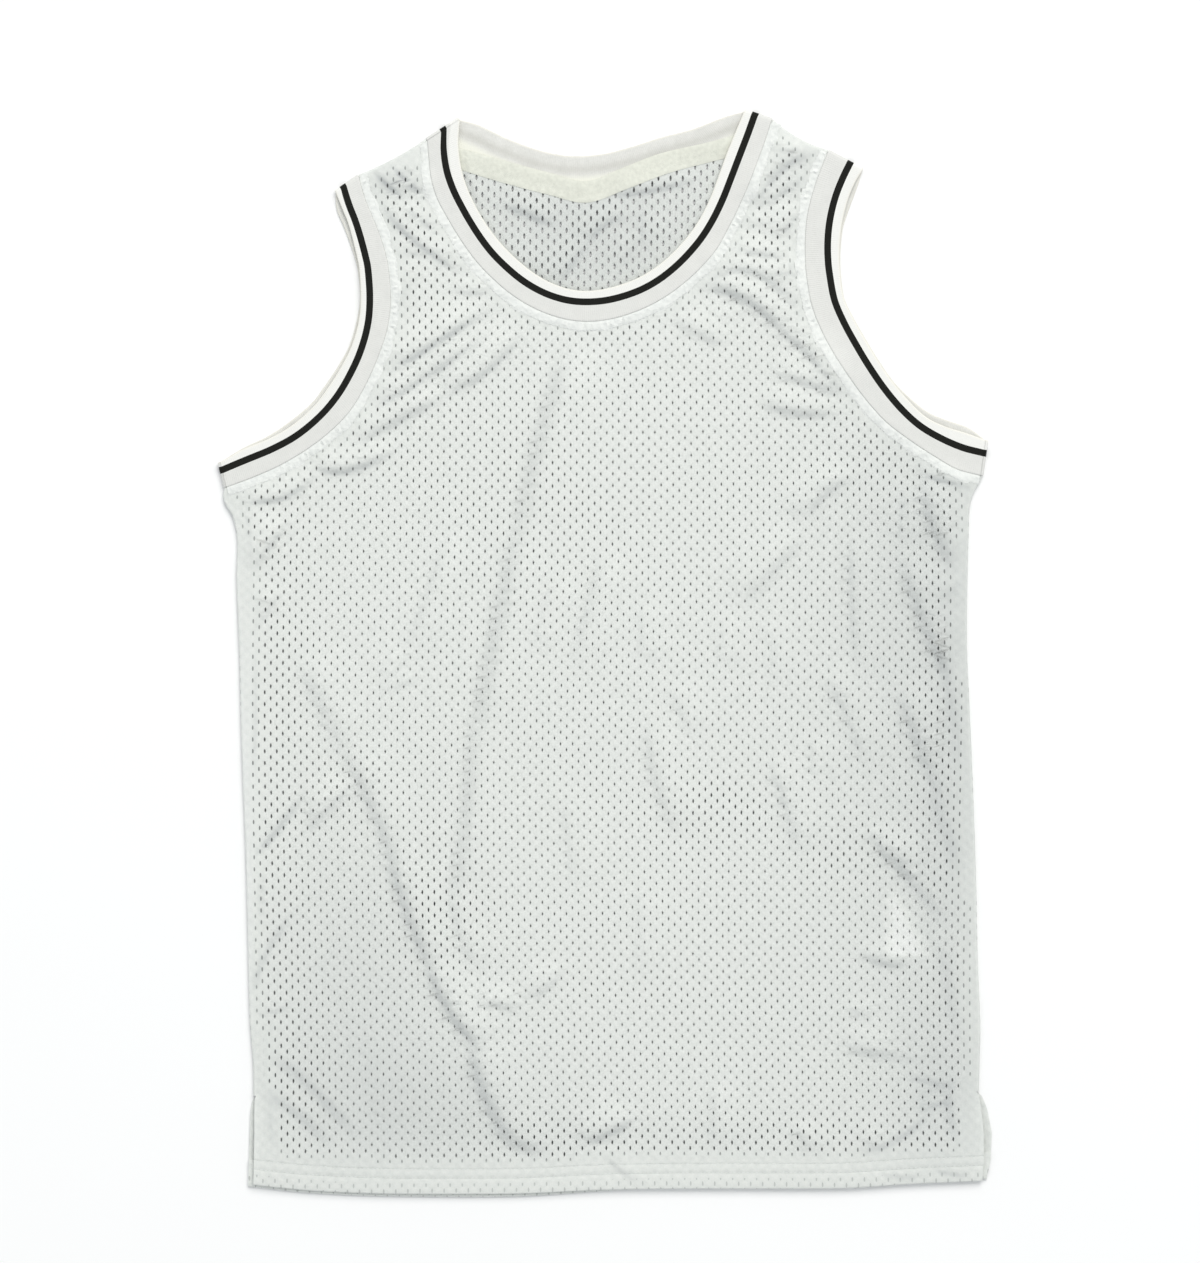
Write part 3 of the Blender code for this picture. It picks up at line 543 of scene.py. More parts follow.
def spline(rows: Sequence, at: Points) -> Points:
    """Points on the smooth curve through rows.

    Args:
        rows: the points that the curve passes, one a row.
        at: where to read the curve, counted in rows.

    Returns:
        One point for each value of at.
    """
    rows = np.asarray(rows, float)
    at = np.clip(np.atleast_1d(np.asarray(at, float)), 0.0, len(rows) - 1.0)
    first = np.minimum(at.astype(int), len(rows) - 2)
    t = (at - first)[:, None]
    padded = np.vstack([2 * rows[0] - rows[1], rows, 2 * rows[-1] - rows[-2]])
    a, b, c, d = (padded[first + shift] for shift in range(4))
    cubic = 2 * b + (c - a) * t
    cubic += (2 * a - 5 * b + 4 * c - d) * t**2
    cubic += (3 * b - a - 3 * c + d) * t**3
    return cubic / 2


def evenly(rows: Points, start: float, end: float, count: int, columns: slice) -> Points:
    """Parameters along a smooth curve that are an equal length apart.

    Args:
        rows: the points that the curve passes.
        start: the first parameter.
        end: the last parameter.
        count: how many steps lie between them.
        columns: the columns that hold the place by which length is measured.

    Returns:
        The count + 1 parameters.
    """
    dense = np.linspace(start, end, CURVE_PLACES)
    length = lengths(spline(rows, dense)[:, columns])
    return np.interp(np.linspace(0.0, length[-1], count + 1), length, dense)


def lengths(line: Points) -> Points:
    """How far along a line of points each of them is."""
    steps = np.linalg.norm(np.diff(line, axis=0), axis=1)
    return np.concatenate([[0.0], np.cumsum(steps)])


def length_of(line: Points) -> float:
    """The length of a line of points."""
    return float(np.linalg.norm(np.diff(line, axis=0), axis=1).sum())


def refine(stretch: Points, step: float, columns: slice = slice(2, 4)) -> Points:
    """The same smooth stretch with its rows about step apart.

    Args:
        stretch: the rows that the stretch passes.
        step: the distance wanted between rows.
        columns: the columns by which the distance is measured.

    Returns:
        The finer stretch, with the same first and last rows.
    """
    count = max(2, round(length_of(stretch[:, columns]) / step))
    return spline(stretch, evenly(stretch, 0, len(stretch) - 1, count, columns))


def unit(vectors: Points) -> Points:
    """The vectors with a length of one."""
    vectors = np.asarray(vectors, float)
    return vectors / np.linalg.norm(vectors, axis=-1, keepdims=True)


def ease(value: Points) -> Points:
    """A smooth step from 0 to 1."""
    value = np.clip(value, 0.0, 1.0)
    return value * value * (3 - 2 * value)


def straight(start: Points, end: Points, count: int) -> Points:
    """Evenly spaced points from start to end, count steps apart."""
    return start + (end - start) * np.linspace(0.0, 1.0, count + 1)[:, None]


def distance(points: Points, line: Points) -> Points:
    """How far each point is from a line of points.

    Args:
        points: the places to measure from.
        line: the line's points, in order.

    Returns:
        One distance for each point.
    """
    best = np.full(len(points), np.inf)
    for start, end in zip(line[:-1], line[1:]):
        step = end - start
        size = step @ step
        if size < TINY * TINY:
            continue
        share = np.clip(((points - start) @ step) / size, 0.0, 1.0)
        foot = start + share[:, None] * step
        best = np.minimum(best, np.linalg.norm(points - foot, axis=1))
    return best


def within(points: Points, outline: Points) -> Points:
    """Whether each point is inside a closed outline."""
    x, y = points.T
    found = np.zeros(len(points), bool)
    for (x1, y1), (x2, y2) in zip(outline, np.roll(outline, 1, axis=0)):
        if y1 == y2:
            continue
        crosses = ((y1 > y) != (y2 > y)) & (x < (x2 - x1) * (y - y1) / (y2 - y1) + x1)
        found ^= crosses
    return found


def line_of(fold: Fold) -> Points:
    """The points along a fold's line."""
    t = np.linspace(0.0, 1.0, FOLD_PLACES)[:, None]
    start, bend, end = (np.array(fold[i : i + 2]) for i in (0, 2, 4))
    control = 2 * bend - (start + end) / 2
    return (1 - t) ** 2 * start + 2 * t * (1 - t) * control + t**2 * end


def beside(points: Points, fold: Fold) -> tuple[Points, Points, Points]:
    """Where points lie beside a fold.

    Args:
        points: the places on the table.
        fold: the crease.

    Returns:
        Which points are near it, and for these the strength of the fold there, 0 at its ends and 1 in
        between, and the distance from its line, positive towards the light.
    """
    line = line_of(fold)
    reach = LONG_END * fold.width + SHORT_SIDE
    near = np.all((points > line.min(0) - reach) & (points < line.max(0) + reach), axis=1)
    steps = np.diff(line, axis=0)
    normals = unit(np.column_stack([-steps[:, 1], steps[:, 0]]))
    if normals.sum(axis=0) @ TOWARDS_LIGHT < 0:
        normals = -normals
    away = points[near][:, None] - line[None, :-1]
    share = np.clip((away * steps).sum(axis=2) / (steps**2).sum(axis=1), 0.0, 1.0)
    foot = away - share[..., None] * steps
    gaps = np.linalg.norm(foot, axis=2)
    best = gaps.argmin(axis=1)
    rows = np.arange(len(best))
    place = (best + share[rows, best]) / len(steps)
    side = np.sign((foot[rows, best] * normals[best]).sum(axis=1)) * gaps[rows, best]
    return near, ease(np.minimum(place, 1 - place) / FOLD_TAPER), side


def ridge(points: Points, fold: Fold) -> Points:
    """The height that one fold adds at each point, dying away at its ends.

    A fold has a short side, which faces away from the light and falls across its line, and a long side.

    Args:
        points: the places on the table.
        fold: the crease.

    Returns:
        One height for each point.
    """
    near, full, side = beside(points, fold)
    short = min(SHORT_SIDE, SHORT_SHARE * fold.width)
    rise = ease((side + short) / (2 * short))
    fall = np.exp(-((np.maximum(side - short, 0.0) / (LONG_SHARE * fold.width)) ** 2))
    found = np.zeros(len(points))
    found[near] = fold.height * full * rise * fall
    return found


@dataclass
class CreaseLines:
    """The painted shade along each fold's short side, which faces away from the light, sorted into sets
    whose folds lie well apart.

    A set gives each point its place across the nearest fold of the set. Between the points of a mesh that
    place changes evenly, so the material can draw the painted shade as a line that is finer than the
    mesh.
    """

    folds: Sequence[Fold]
    sets: int = CREASE_SETS
    off_line: float = 1.3
    least: float = 2.3
    most: float = 7.0
    share: float = 0.37
    spread: float = 1.9
    fade: float = 3.0

    def half_width(self, fold: Fold) -> float:
        """Half the width of the painted shade line."""
        return float(np.clip(self.share * fold.width, self.least, self.most))

    def reach(self, fold: Fold) -> float:
        """How far from the fold its painted shade has gone."""
        return self.spread * self.half_width(fold)

    def crowding(self, fold: Fold, others: Sequence[Fold]) -> float:
        """By how much a fold comes too close to the nearest of some others."""
        line = line_of(fold)
        worst = 0.0
        for other in others:
            gap = distance(line, line_of(other)).min()
            worst = max(worst, self.reach(fold) + self.reach(other) - gap)
        return worst

    @cached_property
    def groups(self) -> list[list[Fold]]:
        """The sets of folds."""
        found = [[] for _ in range(self.sets)]
        for fold in sorted(self.folds, key=lambda fold: -fold.shade):
            if fold.shade:
                min(found, key=lambda group: self.crowding(fold, group)).append(fold)
        return found

    def read(self, points: Points, group: Sequence[Fold]) -> Points:
        """What one set gives the material at each point.

        Args:
            points: the places on the table.
            group: the set's folds.

        Returns:
            Rows of the place across the nearest fold in half widths, the depth of its painted shade
            there, and 0.
        """
        best = np.full(len(points), np.inf)
        found = np.zeros((len(points), 3))
        for fold in group:
            near, full, side = beside(points, fold)
            gaps = np.abs(side)
            closer = gaps < best[near]
            index = np.flatnonzero(near)[closer]
            best[index] = gaps[closer]
            found[index, 0] = (side[closer] + self.off_line) / self.half_width(fold)
            strength = full * ease((self.reach(fold) - gaps) / self.fade)
            found[index, 1] = fold.shade * strength[closer]
        return found


@dataclass
class Pattern:
    """The cut lines of the garment as it lies, which the panels and the bands share.

    The stretches are first laid out as coarsely as in the solids, so that both turn over at the same
    places, and are then made finer.
    """

    strap_rows: int = 7
    armhole_rows: int = 10
    neck_columns: int = 12
    back_columns: int = 10
    step: float = 3.2
    least_shoulder: int = 6
    least_vent: int = 3
    side_probe: float = 0.05

    def along(self, rows: Sequence[Station], start: float, end: float, count: int) -> Points:
        """The stretch of a band's table from start to end, as count + 1 rows."""
        table = np.array(rows, float)
        return spline(table, evenly(table, start, end, count, slice(2, 4)))

    @staticmethod
    def outward(station: Points, inside: Points) -> Points:
        """The direction across a fold line, away from the inside.

        Args:
            station: free and seam x and y, between which the fold line runs.
            inside: a point inside the garment.

        Returns:
            The unit vector.
        """
        across = unit(station[0:2] - station[2:4])
        normal = np.array([-across[1], across[0]])
        return normal if normal @ (station[2:4] - inside) > 0 else -normal

    @cached_property
    def ways(self) -> dict[str, Points]:
        """The way out of the garment at each line where the bands fold over."""
        middle = np.zeros(2)
        found = {}
        for side, neck in zip(Side, (FRONT_NECK[0], FRONT_NECK[-1])):
            top, *_, under = ARMS[side]
            line = np.array([neck.seam_x, neck.seam_y, top.seam_x, top.seam_y])
            found[side.value + "_shoulder"] = self.outward(line, middle)
            found[side.value + "_underarm"] = self.outward(np.array(under[:4]), middle)
        return found

    @staticmethod
    def pull_in(stretch: Points, at_end: bool, out: Points) -> Points:
        """Moves a stretch's last station back along its own edges, short of the fold.

        Args:
            stretch: the band's stations.
            at_end: whether the last station moves, and not the first.
            out: the way out at the fold.

        Returns:
            The stretch with that station moved.
        """
        last, before = (-1, -2) if at_end else (0, 1)
        moved = stretch.copy()
        for part in (slice(0, 2), slice(2, 4)):
            direction = unit(stretch[before, part] - stretch[last, part])
            moved[last, part] += direction * RIB_INSET / (direction @ -out)
        return moved

    @cached_property
    def edges(self) -> dict[str, Points]:
        """The stretches of the front's seams, each pulled in where it meets a fold."""
        found = {"neck_arc": self.along(FRONT_NECK, *NECK_CORNERS, self.neck_columns)}
        for side, corner, end in zip(Side, NECK_CORNERS, (0, len(FRONT_NECK) - 1)):
            title, arm, base = side.value, ARMS[side], ARM_BASES[side]
            neck = self.along(FRONT_NECK, corner, end, self.strap_rows)
            strap = self.along(arm, base, 0, self.strap_rows)
            low = self.along(arm, len(arm) - 1, base, self.armhole_rows)
            shoulder, underarm = self.ways[title + "_shoulder"], self.ways[title + "_underarm"]
            found["neck_" + title] = self.pull_in(neck, True, shoulder)
            found[title + "_up"] = self.pull_in(strap, True, shoulder)
            found[title + "_low"] = self.pull_in(low, False, underarm)
        return found

    @cached_property
    def front_neck(self) -> Points:
        """The front neck's stations from the left shoulder to the right."""
        edges = self.edges
        return np.concatenate([edges["neck_left"][::-1], edges["neck_arc"][1:], edges["neck_right"][1:]])

    @cached_property
    def back_neck(self) -> Points:
        """The back neck's stations from the left shoulder to the right."""
        stretch = self.along(BACK_NECK, 0, len(BACK_NECK) - 1, self.back_columns)
        stretch[0, :4] = self.edges["neck_left"][-1, :4]
        stretch[-1, :4] = self.edges["neck_right"][-1, :4]
        return stretch

    def front_arm(self, side: Side) -> Points:
        """An armhole's front stations from the underarm to the shoulder."""
        edges = self.edges
        return np.concatenate([edges[side.value + "_low"], edges[side.value + "_up"][1:]])

    def back_arm(self, side: Side) -> Points:
        """The same stations as they lie on the table, moved out past the front."""
        stretch = self.front_arm(side)
        across = unit(stretch[:, 0:2] - stretch[:, 2:4])
        moved = stretch.copy()
        moved[:, 0:2] += across * stretch[:, 4:5]
        moved[:, 2:4] += across * stretch[:, 4:5]
        return moved

    def arm(self, side: Side, layer: Layer) -> Points:
        """An armhole's stations on one layer."""
        return self.front_arm(side) if layer is Layer.FRONT else self.back_arm(side)

    def neck(self, layer: Layer) -> Points:
        """The neck's stations on one layer."""
        return self.front_neck if layer is Layer.FRONT else self.back_neck

    def side_edge(self, side: Side) -> tuple[Points, Points]:
        """The side seam's flat edge from the vent up to below the underarm, and its ways out."""
        table = np.array(SIDES[side])
        count = round(length_of(table) / self.step)
        at = evenly(table, len(table) - 1, 0, count, slice(0, 2))[:-1]
        points = spline(table, at)
        ahead = spline(table, at - self.side_probe) - spline(table, at + self.side_probe)
        normals = unit(np.column_stack([-ahead[:, 1], ahead[:, 0]]))
        normals *= np.sign(normals[:, :1] * points[:, :1])
        return points - normals * SIDE_INSET, normals

    def shoulder(self, side: Side, layer: Layer) -> Points:
        """The shoulder's edge from the armhole's seam to the neck's, dipping in the middle."""
        start = self.arm(side, layer)[-1, 2:4]
        end = self.neck(layer)[0 if side is Side.LEFT else -1, 2:4]
        count = max(self.least_shoulder, round(float(np.linalg.norm(end - start)) / self.step))
        row = straight(start, end, count)
        share = np.linspace(0.0, 1.0, count + 1)
        sag = 4 * SHOULDER_SAG[side] * share * (1 - share)
        return row - self.ways[side.value + "_shoulder"] * sag[:, None]

    @staticmethod
    def vent_x(side: Side, heights: Points, layer: Layer) -> Points:
        """How far across a panel's edge lies beside a vent."""
        table = sorted((row.y, getattr(row, layer.value)) for row in VENTS[side])
        return np.interp(heights, [row[0] for row in table], [row[1] for row in table])

    @staticmethod
    def hem_line(x: Points, layer: Layer) -> Points:
        """Where a panel's bottom edge lies at each place across."""
        at = np.interp(x, [row.x for row in HEM], np.arange(len(HEM)))
        return spline([[getattr(row, layer.value)] for row in HEM], at)[:, 0]

    def above_hem(self, points: Points, layer: Layer) -> Points:
        """How far each point lies up from a panel's bottom edge."""
        return points[:, 1] - self.hem_line(points[:, 0], layer)

    def vent_edge(self, side: Side, layer: Layer, corner: Points) -> Points:
        """A panel's own edge beside the vent, from the top of the hem up to just below the side seam."""
        top = VENTS[side][0].y
        count = max(self.least_vent, round((top - corner[1]) / self.step))
        heights = np.linspace(corner[1], top, count + 1)[:-1]
        edge = np.column_stack([self.vent_x(side, heights, layer), heights])
        edge[0] = corner
        return edge


@dataclass(frozen=True)
class LabelPatch:
    """The part of the label that shows through the front, where painted light makes the cloth lighter,
    and by how much.

    Its right edge is given at the top, from where it leans outwards.
    """

    left: float = 192.0
    right: float = 197.0
    low: float = -203.0
    high: float = -160.0
    lean: float = 0.5
    fade_left: float = 3.0
    fade_right: float = 6.0
    fade_low: float = 3.0
    fade_high: float = 10.0
    lighter: float = 0.26

    def over(self, points: Points) -> Points:
        """How far each point is covered, from 0 to 1."""
        x, y = points.T
        edge = self.right + self.lean * (self.high - y)
        left = ease((x - self.left) / self.fade_left + 0.5)
        right = ease((edge - x) / self.fade_right + 0.5)
        low = ease((y - self.low) / self.fade_low + 0.5)
        high = ease((self.high - y) / self.fade_high + 0.5)
        return left * right * (low * high)


@dataclass
class Lay:
    """How high each layer lies above the table, with its folds and swells, and the painted shade and
    light on it and in its eyelets.
    """

    pattern: Pattern
    label: LabelPatch = LabelPatch()
    shade_limits: Pair = (-1.0, 1.5)
    limit: float = 9.5
    edge_reach: float = 7.0
    sag_room: float = 2.0
    hem_fade: Pair = (18.5, 36.0)
    hem_keep: float = 0.3
    hem_rise: float = 1.2
    hem_ramp: Pair = (19.5, 34.0)

    def edge_fade(self, points: Points) -> Points:
        """0 at every turned edge of the front and 1 further in."""
        fade = np.ones(len(points))
        for corner, end in (("_shoulder", 0), ("_underarm", -1)):
            for side, arm in ARMS.items():
                place = np.array([arm[end].seam_x, arm[end].seam_y])
                depth = (place - points) @ self.pattern.ways[side.value + corner]
                fade *= ease((depth - RIB_INSET - self.sag_room) / self.edge_reach)
        for rows in SIDES.values():
            table = np.array(rows)[::-1]
            edge = np.interp(points[:, 1], table[:, 1], table[:, 0])
            inside = (edge - points[:, 0]) * np.sign(edge)
            below = points[:, 1] < table[-1, 1]
            fade *= np.where(below, ease((inside - SIDE_INSET) / self.edge_reach), 1.0)
        return fade

    def relief(self, points: Points) -> Points:
        """The height of the front's folds and swells at each point."""
        folds = sum(ridge(points, fold) for fold in FRONT_FOLDS)
        total = sum((swell.at(points) for swell in FRONT_SWELLS), folds)
        above_hem = self.pattern.above_hem(points, Layer.FRONT)
        start, end = self.hem_fade
        keep = self.hem_keep + (1 - self.hem_keep) * ease((above_hem - start) / (end - start))
        return self.limit * np.tanh(total * keep * self.edge_fade(points) / self.limit)

    def front(self, points: Points, middle: float = FRONT_MID) -> Points:
        """The middle of a front layer above the table: folds, and the rise over the doubled hem."""
        above_hem = self.pattern.above_hem(points, Layer.FRONT)
        start, reach = self.hem_ramp
        rise = self.hem_rise * ease(1 - (above_hem - start) / reach)
        return middle + self.relief(points) + rise

    def back(self, points: Points) -> Points:
        """The middle of the back panel above the table."""
        return BACK_MID + sum(ridge(points, fold) for fold in BACK_FOLDS)

    def pressed(self, points: Points, layer: Layer) -> Points:
        """How much painted shade a layer has at each point; below 0 it is painted light, over the label
        and along the left edge.
        """
        front = layer is Layer.FRONT
        patches = FRONT_SHADES if front else BACK_SHADES
        total = sum((patch.at(points) for patch in patches), np.zeros(len(points)))
        if front:
            over = self.label.over(points)
            total = total * (1 - over) - self.label.lighter * over
        return np.clip(total, *self.shade_limits)

    @staticmethod
    def opened(points: Points, layer: Layer) -> Points:
        """How much painted shade a layer's eyelets get at each point, from 0 to 1; it also sets how large
        they are cut.
        """
        if layer is Layer.BACK:
            return np.full(len(points), BACK_OPEN)
        total = sum((patch.at(points) for patch in FRONT_GAPS), np.full(len(points), FRONT_OPEN))
        return np.clip(total, 0.0, 1.0)

    def of(self, layer: Layer) -> Measure:
        """The height of a layer's panel."""
        return self.front if layer is Layer.FRONT else self.back

    @staticmethod
    def lifted(grid: Points, height: Measure) -> Points:
        """A flat grid of points with the height of each added."""
        flat = grid.reshape(-1, 2)
        return np.column_stack([flat, height(flat)]).reshape(*grid.shape[:-1], 3)


@dataclass
class Grain:
    """The knit's own grid, which leans and drifts a little: an eyelet at every crossing."""

    across: float = 8.13
    along: float = 3.97
    drift: Pair = (1.6, 1.3)
    side_waves: Pair = (83.0, 210.0)
    up_waves: Pair = (97.0, 260.0)
    up_phase: float = 1.7
    phase: float = 0.0

    def moved(self, flat: Points) -> Points:
        """Places on the straight grid as they lie on the table."""
        return flat + self.shift(flat)

    def shift(self, places: Points) -> Points:
        """How far the knit has drifted at each place."""
        x, y = places[:, 0], places[:, 1]
        (side_y, side_x), (up_x, up_y) = self.side_waves, self.up_waves
        side = self.drift[0] * np.sin(y / side_y + x / side_x + self.phase)
        up = self.drift[1] * np.sin(x / up_x - y / up_y + self.up_phase * self.phase)
        return np.column_stack([side, up])

    def counted(self, places: Points) -> Points:
        """Places on the table in pitches across and along the knit."""
        flat = places - self.shift(places)
        return np.column_stack([flat[:, 0] / self.across, flat[:, 1] / (2 * self.along)])


def add_object(name: str, data: bpy.types.ID) -> Piece:
    """A new object in the scene, with its mesh, lamp or lens."""
    made = bpy.data.objects.new(name, data)
    bpy.context.scene.collection.objects.link(made)
    return made


class Workshop:
    """Turns shapes in millimetres into finished pieces that ride on the garment's body."""

    def __init__(self) -> None:
        """Starts with no pieces."""
        self.pieces: list[Piece] = []

    @staticmethod
    def add_grid(shape: Shape, points: Points, skins: Sequence[int] = ()) -> None:
        """Adds a grid of faces to a bmesh, with its vertices at the given rows of points.

        Args:
            shape: the bmesh, in millimetres.
            points: rows of columns of x, y and z.
            skins: the material slot of each column of faces, if not the first.
        """
        rows, columns = points.shape[0] - 1, points.shape[1] - 1
        made = bmesh.ops.create_grid(shape, x_segments=columns, y_segments=rows, size=1.0)
        places = {}
        for vertex in made["verts"]:
            column = round((vertex.co.x + 1) / 2 * columns)
            row = round((vertex.co.y + 1) / 2 * rows)
            vertex.co = points[row, column]
            places[vertex] = column
        if len(skins):
            for face in {face for vertex in made["verts"] for face in vertex.link_faces}:
                face.material_index = skins[min(places[vertex] for vertex in face.verts)]

    def finish(
        self,
        name: str,
        shape: Shape,
        finishes: Sequence[Finish],
        slot: str,
        maps: Sequence[tuple[str, Measure]] = (),
        wall: float = 0.0,
    ) -> Piece:
        """Makes the piece's object, with its wall, its maps and its sharp edges.

        Args:
            name: the piece's name.
            shape: its bmesh in millimetres, which is freed.
            finishes: its materials.
            slot: the record's material slot, which is not used.
            maps: the UV maps beside the one for baking, each with what gives u and v at a place.
            wall: the thickness of an open sheet, or 0 for a closed piece.

        Returns:
            The object.
        """
        mesh = bpy.data.meshes.new(name)
        shape.to_mesh(mesh)
        shape.free()
        for finish in finishes:
            mesh.materials.append(finish)
        places = self.places(mesh)
        corners = np.empty(len(mesh.loops), np.int32)
        mesh.loops.foreach_get("vertex_index", corners)
        for title, read in (*maps, ("OFBake", bake_map)):
            layer = mesh.uv_layers.new(name=title)
            layer.uv.foreach_set("vector", read(places)[corners].ravel())
        placed = (places - np.array([*MIDDLE, 0.0])) * MM
        mesh.vertices.foreach_set("co", placed.ravel())
        mesh.update()
        piece = add_object(name, mesh)
        if wall:
            self.give_wall(piece, wall)
        piece.data.shade_smooth()
        piece.data.set_sharp_from_angle(angle=SHARP_ANGLE)
        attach(piece, "root")
        self.pieces.append(piece)
        return piece

    @staticmethod
    def places(mesh: bpy.types.Mesh) -> Points:
        """The places of a mesh's vertices."""
        found = np.empty(len(mesh.vertices) * 3)
        mesh.vertices.foreach_get("co", found)
        return found.reshape(-1, 3)

    @staticmethod
    def note(piece: Piece, title: str, values: Points) -> None:
        """Notes a number, or a row of three, at each vertex as an attribute."""
        kind, entry = ("FLOAT", "value") if values.ndim == 1 else ("FLOAT_VECTOR", "vector")
        noted = piece.data.attributes.new(title, kind, "POINT")
        noted.data.foreach_set(entry, values.ravel())

    def report(self) -> None:
        """Logs each finished piece."""
        for piece in self.pieces:
            piece.data.calc_loop_triangles()
            LOG.info("%s: %d triangles", piece.name, len(piece.data.loop_triangles))

    @staticmethod
    def give_wall(piece: Piece, wall: float) -> None:
        """Gives an open sheet its thickness for good."""
        thick = piece.modifiers.new("wall", "SOLIDIFY")
        thick.thickness = wall * MM
        thick.offset = 0.0
        thick.use_even_offset = True
        graph = bpy.context.evaluated_depsgraph_get()
        solid = bpy.data.meshes.new_from_object(piece.evaluated_get(graph))
        piece.modifiers.clear()
        thin = piece.data
        piece.data = solid
        name = thin.name
        bpy.data.meshes.remove(thin)
        solid.name = name


def bake_map(places: Points) -> Points:
    """The map for baking: the garment from above, in a unit square."""
    return places[:, :2] / BAKE_SPAN + 0.5


@dataclass
class EyeletPanel:
    """One panel of eyelet mesh: the body, its turned edges and its turned-up hem."""

    name: str
    node: str
    layer: Layer
    pattern: Pattern
    lay: Lay
    eyelet: Pair
    grain: Grain = field(default_factory=Grain)
    wall: float = CLOTH
    margin: float = 12.0
    least_step: float = 0.05
    rim: float = 2.6
    cut: float = 0.9
    hole_size: float = 0.8
    hole_growth: float = 0.35
    hem_step: float = 3.0
    hem_rows: tuple[float, ...] = (HEM_DEPTH, 17.7, 17.0, 16.3, 13.5, 11.3, 10.6, 9.9, 7.0, 3.6, 1.15)
    hem_dips: tuple[int, ...] = (2, 6)
    hem_dip: float = 0.32
    hem_turn: int = 5
    turn_angles: tuple[float, ...] = (0.35, 0.7, 1.05, 1.35)
    bare_seam: float = 5.6
    bare_side: float = 1.2
    bare_vent: float = 15.0
    bare_hem: float = 2.2
    bare_shoulder: float = 1.8
    # Painted shade in the eyelets near the rim, where it also draws eyelets that are not cut, and in the
    # lower hem, where none are cut.
    rim_open: float = 0.6
    rim_reach: float = 7.0
    rim_fade: float = 4.0
    hem_open: float = 0.3
    hem_shown: float = 9.5
    closed: float = -1.0
    least_open: float = -2.0

    @cached_property
    def hem(self) -> Points:
        """The hem: the panel's last rows, the fold, and the turned-up edge on its inner side."""
        layer, inward = self.layer, -self.layer.up
        ends = self.pattern.hem_line(np.array(HEM_ENDS), layer)
        columns = round((HEM_ENDS[1] - HEM_ENDS[0]) / self.hem_step)
        share = np.linspace(0.0, 1.0, columns + 1)
        flat = []
        for offset in self.hem_rows:
            level = ends + offset
            left = self.pattern.vent_x(Side.LEFT, level[:1], layer)[0]
            right = self.pattern.vent_x(Side.RIGHT, level[1:], layer)[0]
            x = left + (right - left) * share
            flat.append(np.column_stack([x, self.pattern.hem_line(x, layer) + offset]))
        shown = self.lay.lifted(np.array(flat), self.lay.of(layer))
        if layer is Layer.FRONT:
            shown[list(self.hem_dips), :, 2] -= self.hem_dip
        hidden = shown[::-1].copy()
        hidden[..., 2] += inward * 2 * HEM_RADIUS
        fold = []
        for angle in np.linspace(0.0, np.pi, self.hem_turn + 1)[1:-1]:
            row = shown[-1].copy()
            row[:, 1] -= HEM_RADIUS * np.sin(angle)
            row[:, 2] += inward * HEM_RADIUS * (1 - np.cos(angle))
            fold.append(row)
        return np.concatenate([shown, fold, hidden])

    @cached_property
    def borders(self) -> list[tuple[Points, float]]:
        """The outline's stretches in order, anticlockwise from the hem, each with its bare width."""
        pattern, layer = self.pattern, self.layer
        bottom = self.hem[0, :, :2]
        found = [(bottom, self.bare_hem)]
        for side in (Side.RIGHT, Side.LEFT):
            corner = bottom[-1] if side is Side.RIGHT else bottom[0]
            arm = refine(pattern.arm(side, layer), pattern.step)
            climb = [
                (pattern.vent_edge(side, layer, corner), self.bare_vent),
                (pattern.side_edge(side)[0], self.bare_side),
                (arm[:, 2:4], self.bare_seam),
                (pattern.shoulder(side, layer), self.bare_shoulder),
            ]
            if side is Side.RIGHT:
                found += climb
                neck = refine(pattern.neck(layer), pattern.step)
                found.append((neck[::-1, 2:4], self.bare_seam))
            else:
                found += [(line[::-1], width) for line, width in climb[::-1]]
        return found

    def outline(self) -> Points:
        """The flat panel's outline, each corner once."""
        points = np.concatenate([line for line, _ in self.borders])
        ahead = np.roll(points, -1, axis=0)
        return points[np.linalg.norm(points - ahead, axis=1) > self.least_step]

    def body(self) -> Shape:
        """The flat cloth on its own grain, cut to the outline and pierced, in millimetres."""
        outline = self.outline()
        low, high = outline.min(axis=0) - self.margin, outline.max(axis=0) + self.margin
        grain = self.grain
        columns = round((high[0] - low[0]) / grain.across)
        rows = round((high[1] - low[1]) / grain.along)
        shape = bmesh.new()
        made = bmesh.ops.create_grid(shape, x_segments=columns, y_segments=rows, size=1.0)
        verts = made["verts"]
        share = np.array([(vertex.co.x, vertex.co.y) for vertex in verts]) / 2 + 0.5
        spots = np.round(share * (columns, rows))
        start = np.round(low / (grain.across, grain.along))
        flat = (spots + start) * (grain.across, grain.along)
        flat[:, 0] += grain.across / 2 * ((spots[:, 1] + start[1]) % 2)
        places = grain.moved(flat)
        closed = np.vstack([outline, outline[:1]])
        keep = within(places, outline) & (distance(places, closed) > self.rim)
        pierced = keep.copy()
        for line, bare in self.borders:
            pierced &= distance(places, line) > bare
        for vertex, place in zip(verts, places):
            vertex.co = (*place, 0.0)
        holes = {vertex for vertex, wanted in zip(verts, pierced) if wanted}
        outside = [vertex for vertex, wanted in zip(verts, keep) if not wanted]
        bmesh.ops.delete(shape, geom=outside, context="VERTS")
        self.trim(shape)
        self.fill_rim(shape, outline)
        self.pierce(shape, [v for v in holes if v.is_valid and self.inner(v)])
        return shape

    @staticmethod
    def inner(vertex: bmesh.types.BMVert) -> bool:
        """Whether a crossing of the grain has all its four cells."""
        return len(vertex.link_faces) == 4 and all(len(face.verts) == 4 for face in vertex.link_faces)

    @staticmethod
    def trim(shape: Shape) -> None:
        """Removes loose bits and cells that touch the rest by a corner alone."""
        while True:
            loose = [vertex for vertex in shape.verts if not vertex.link_faces]
            corners = [v for v in shape.verts if sum(e.is_boundary for e in v.link_edges) > 2]
            if not loose and not corners:
                return
            bmesh.ops.delete(shape, geom=loose + corners, context="VERTS")

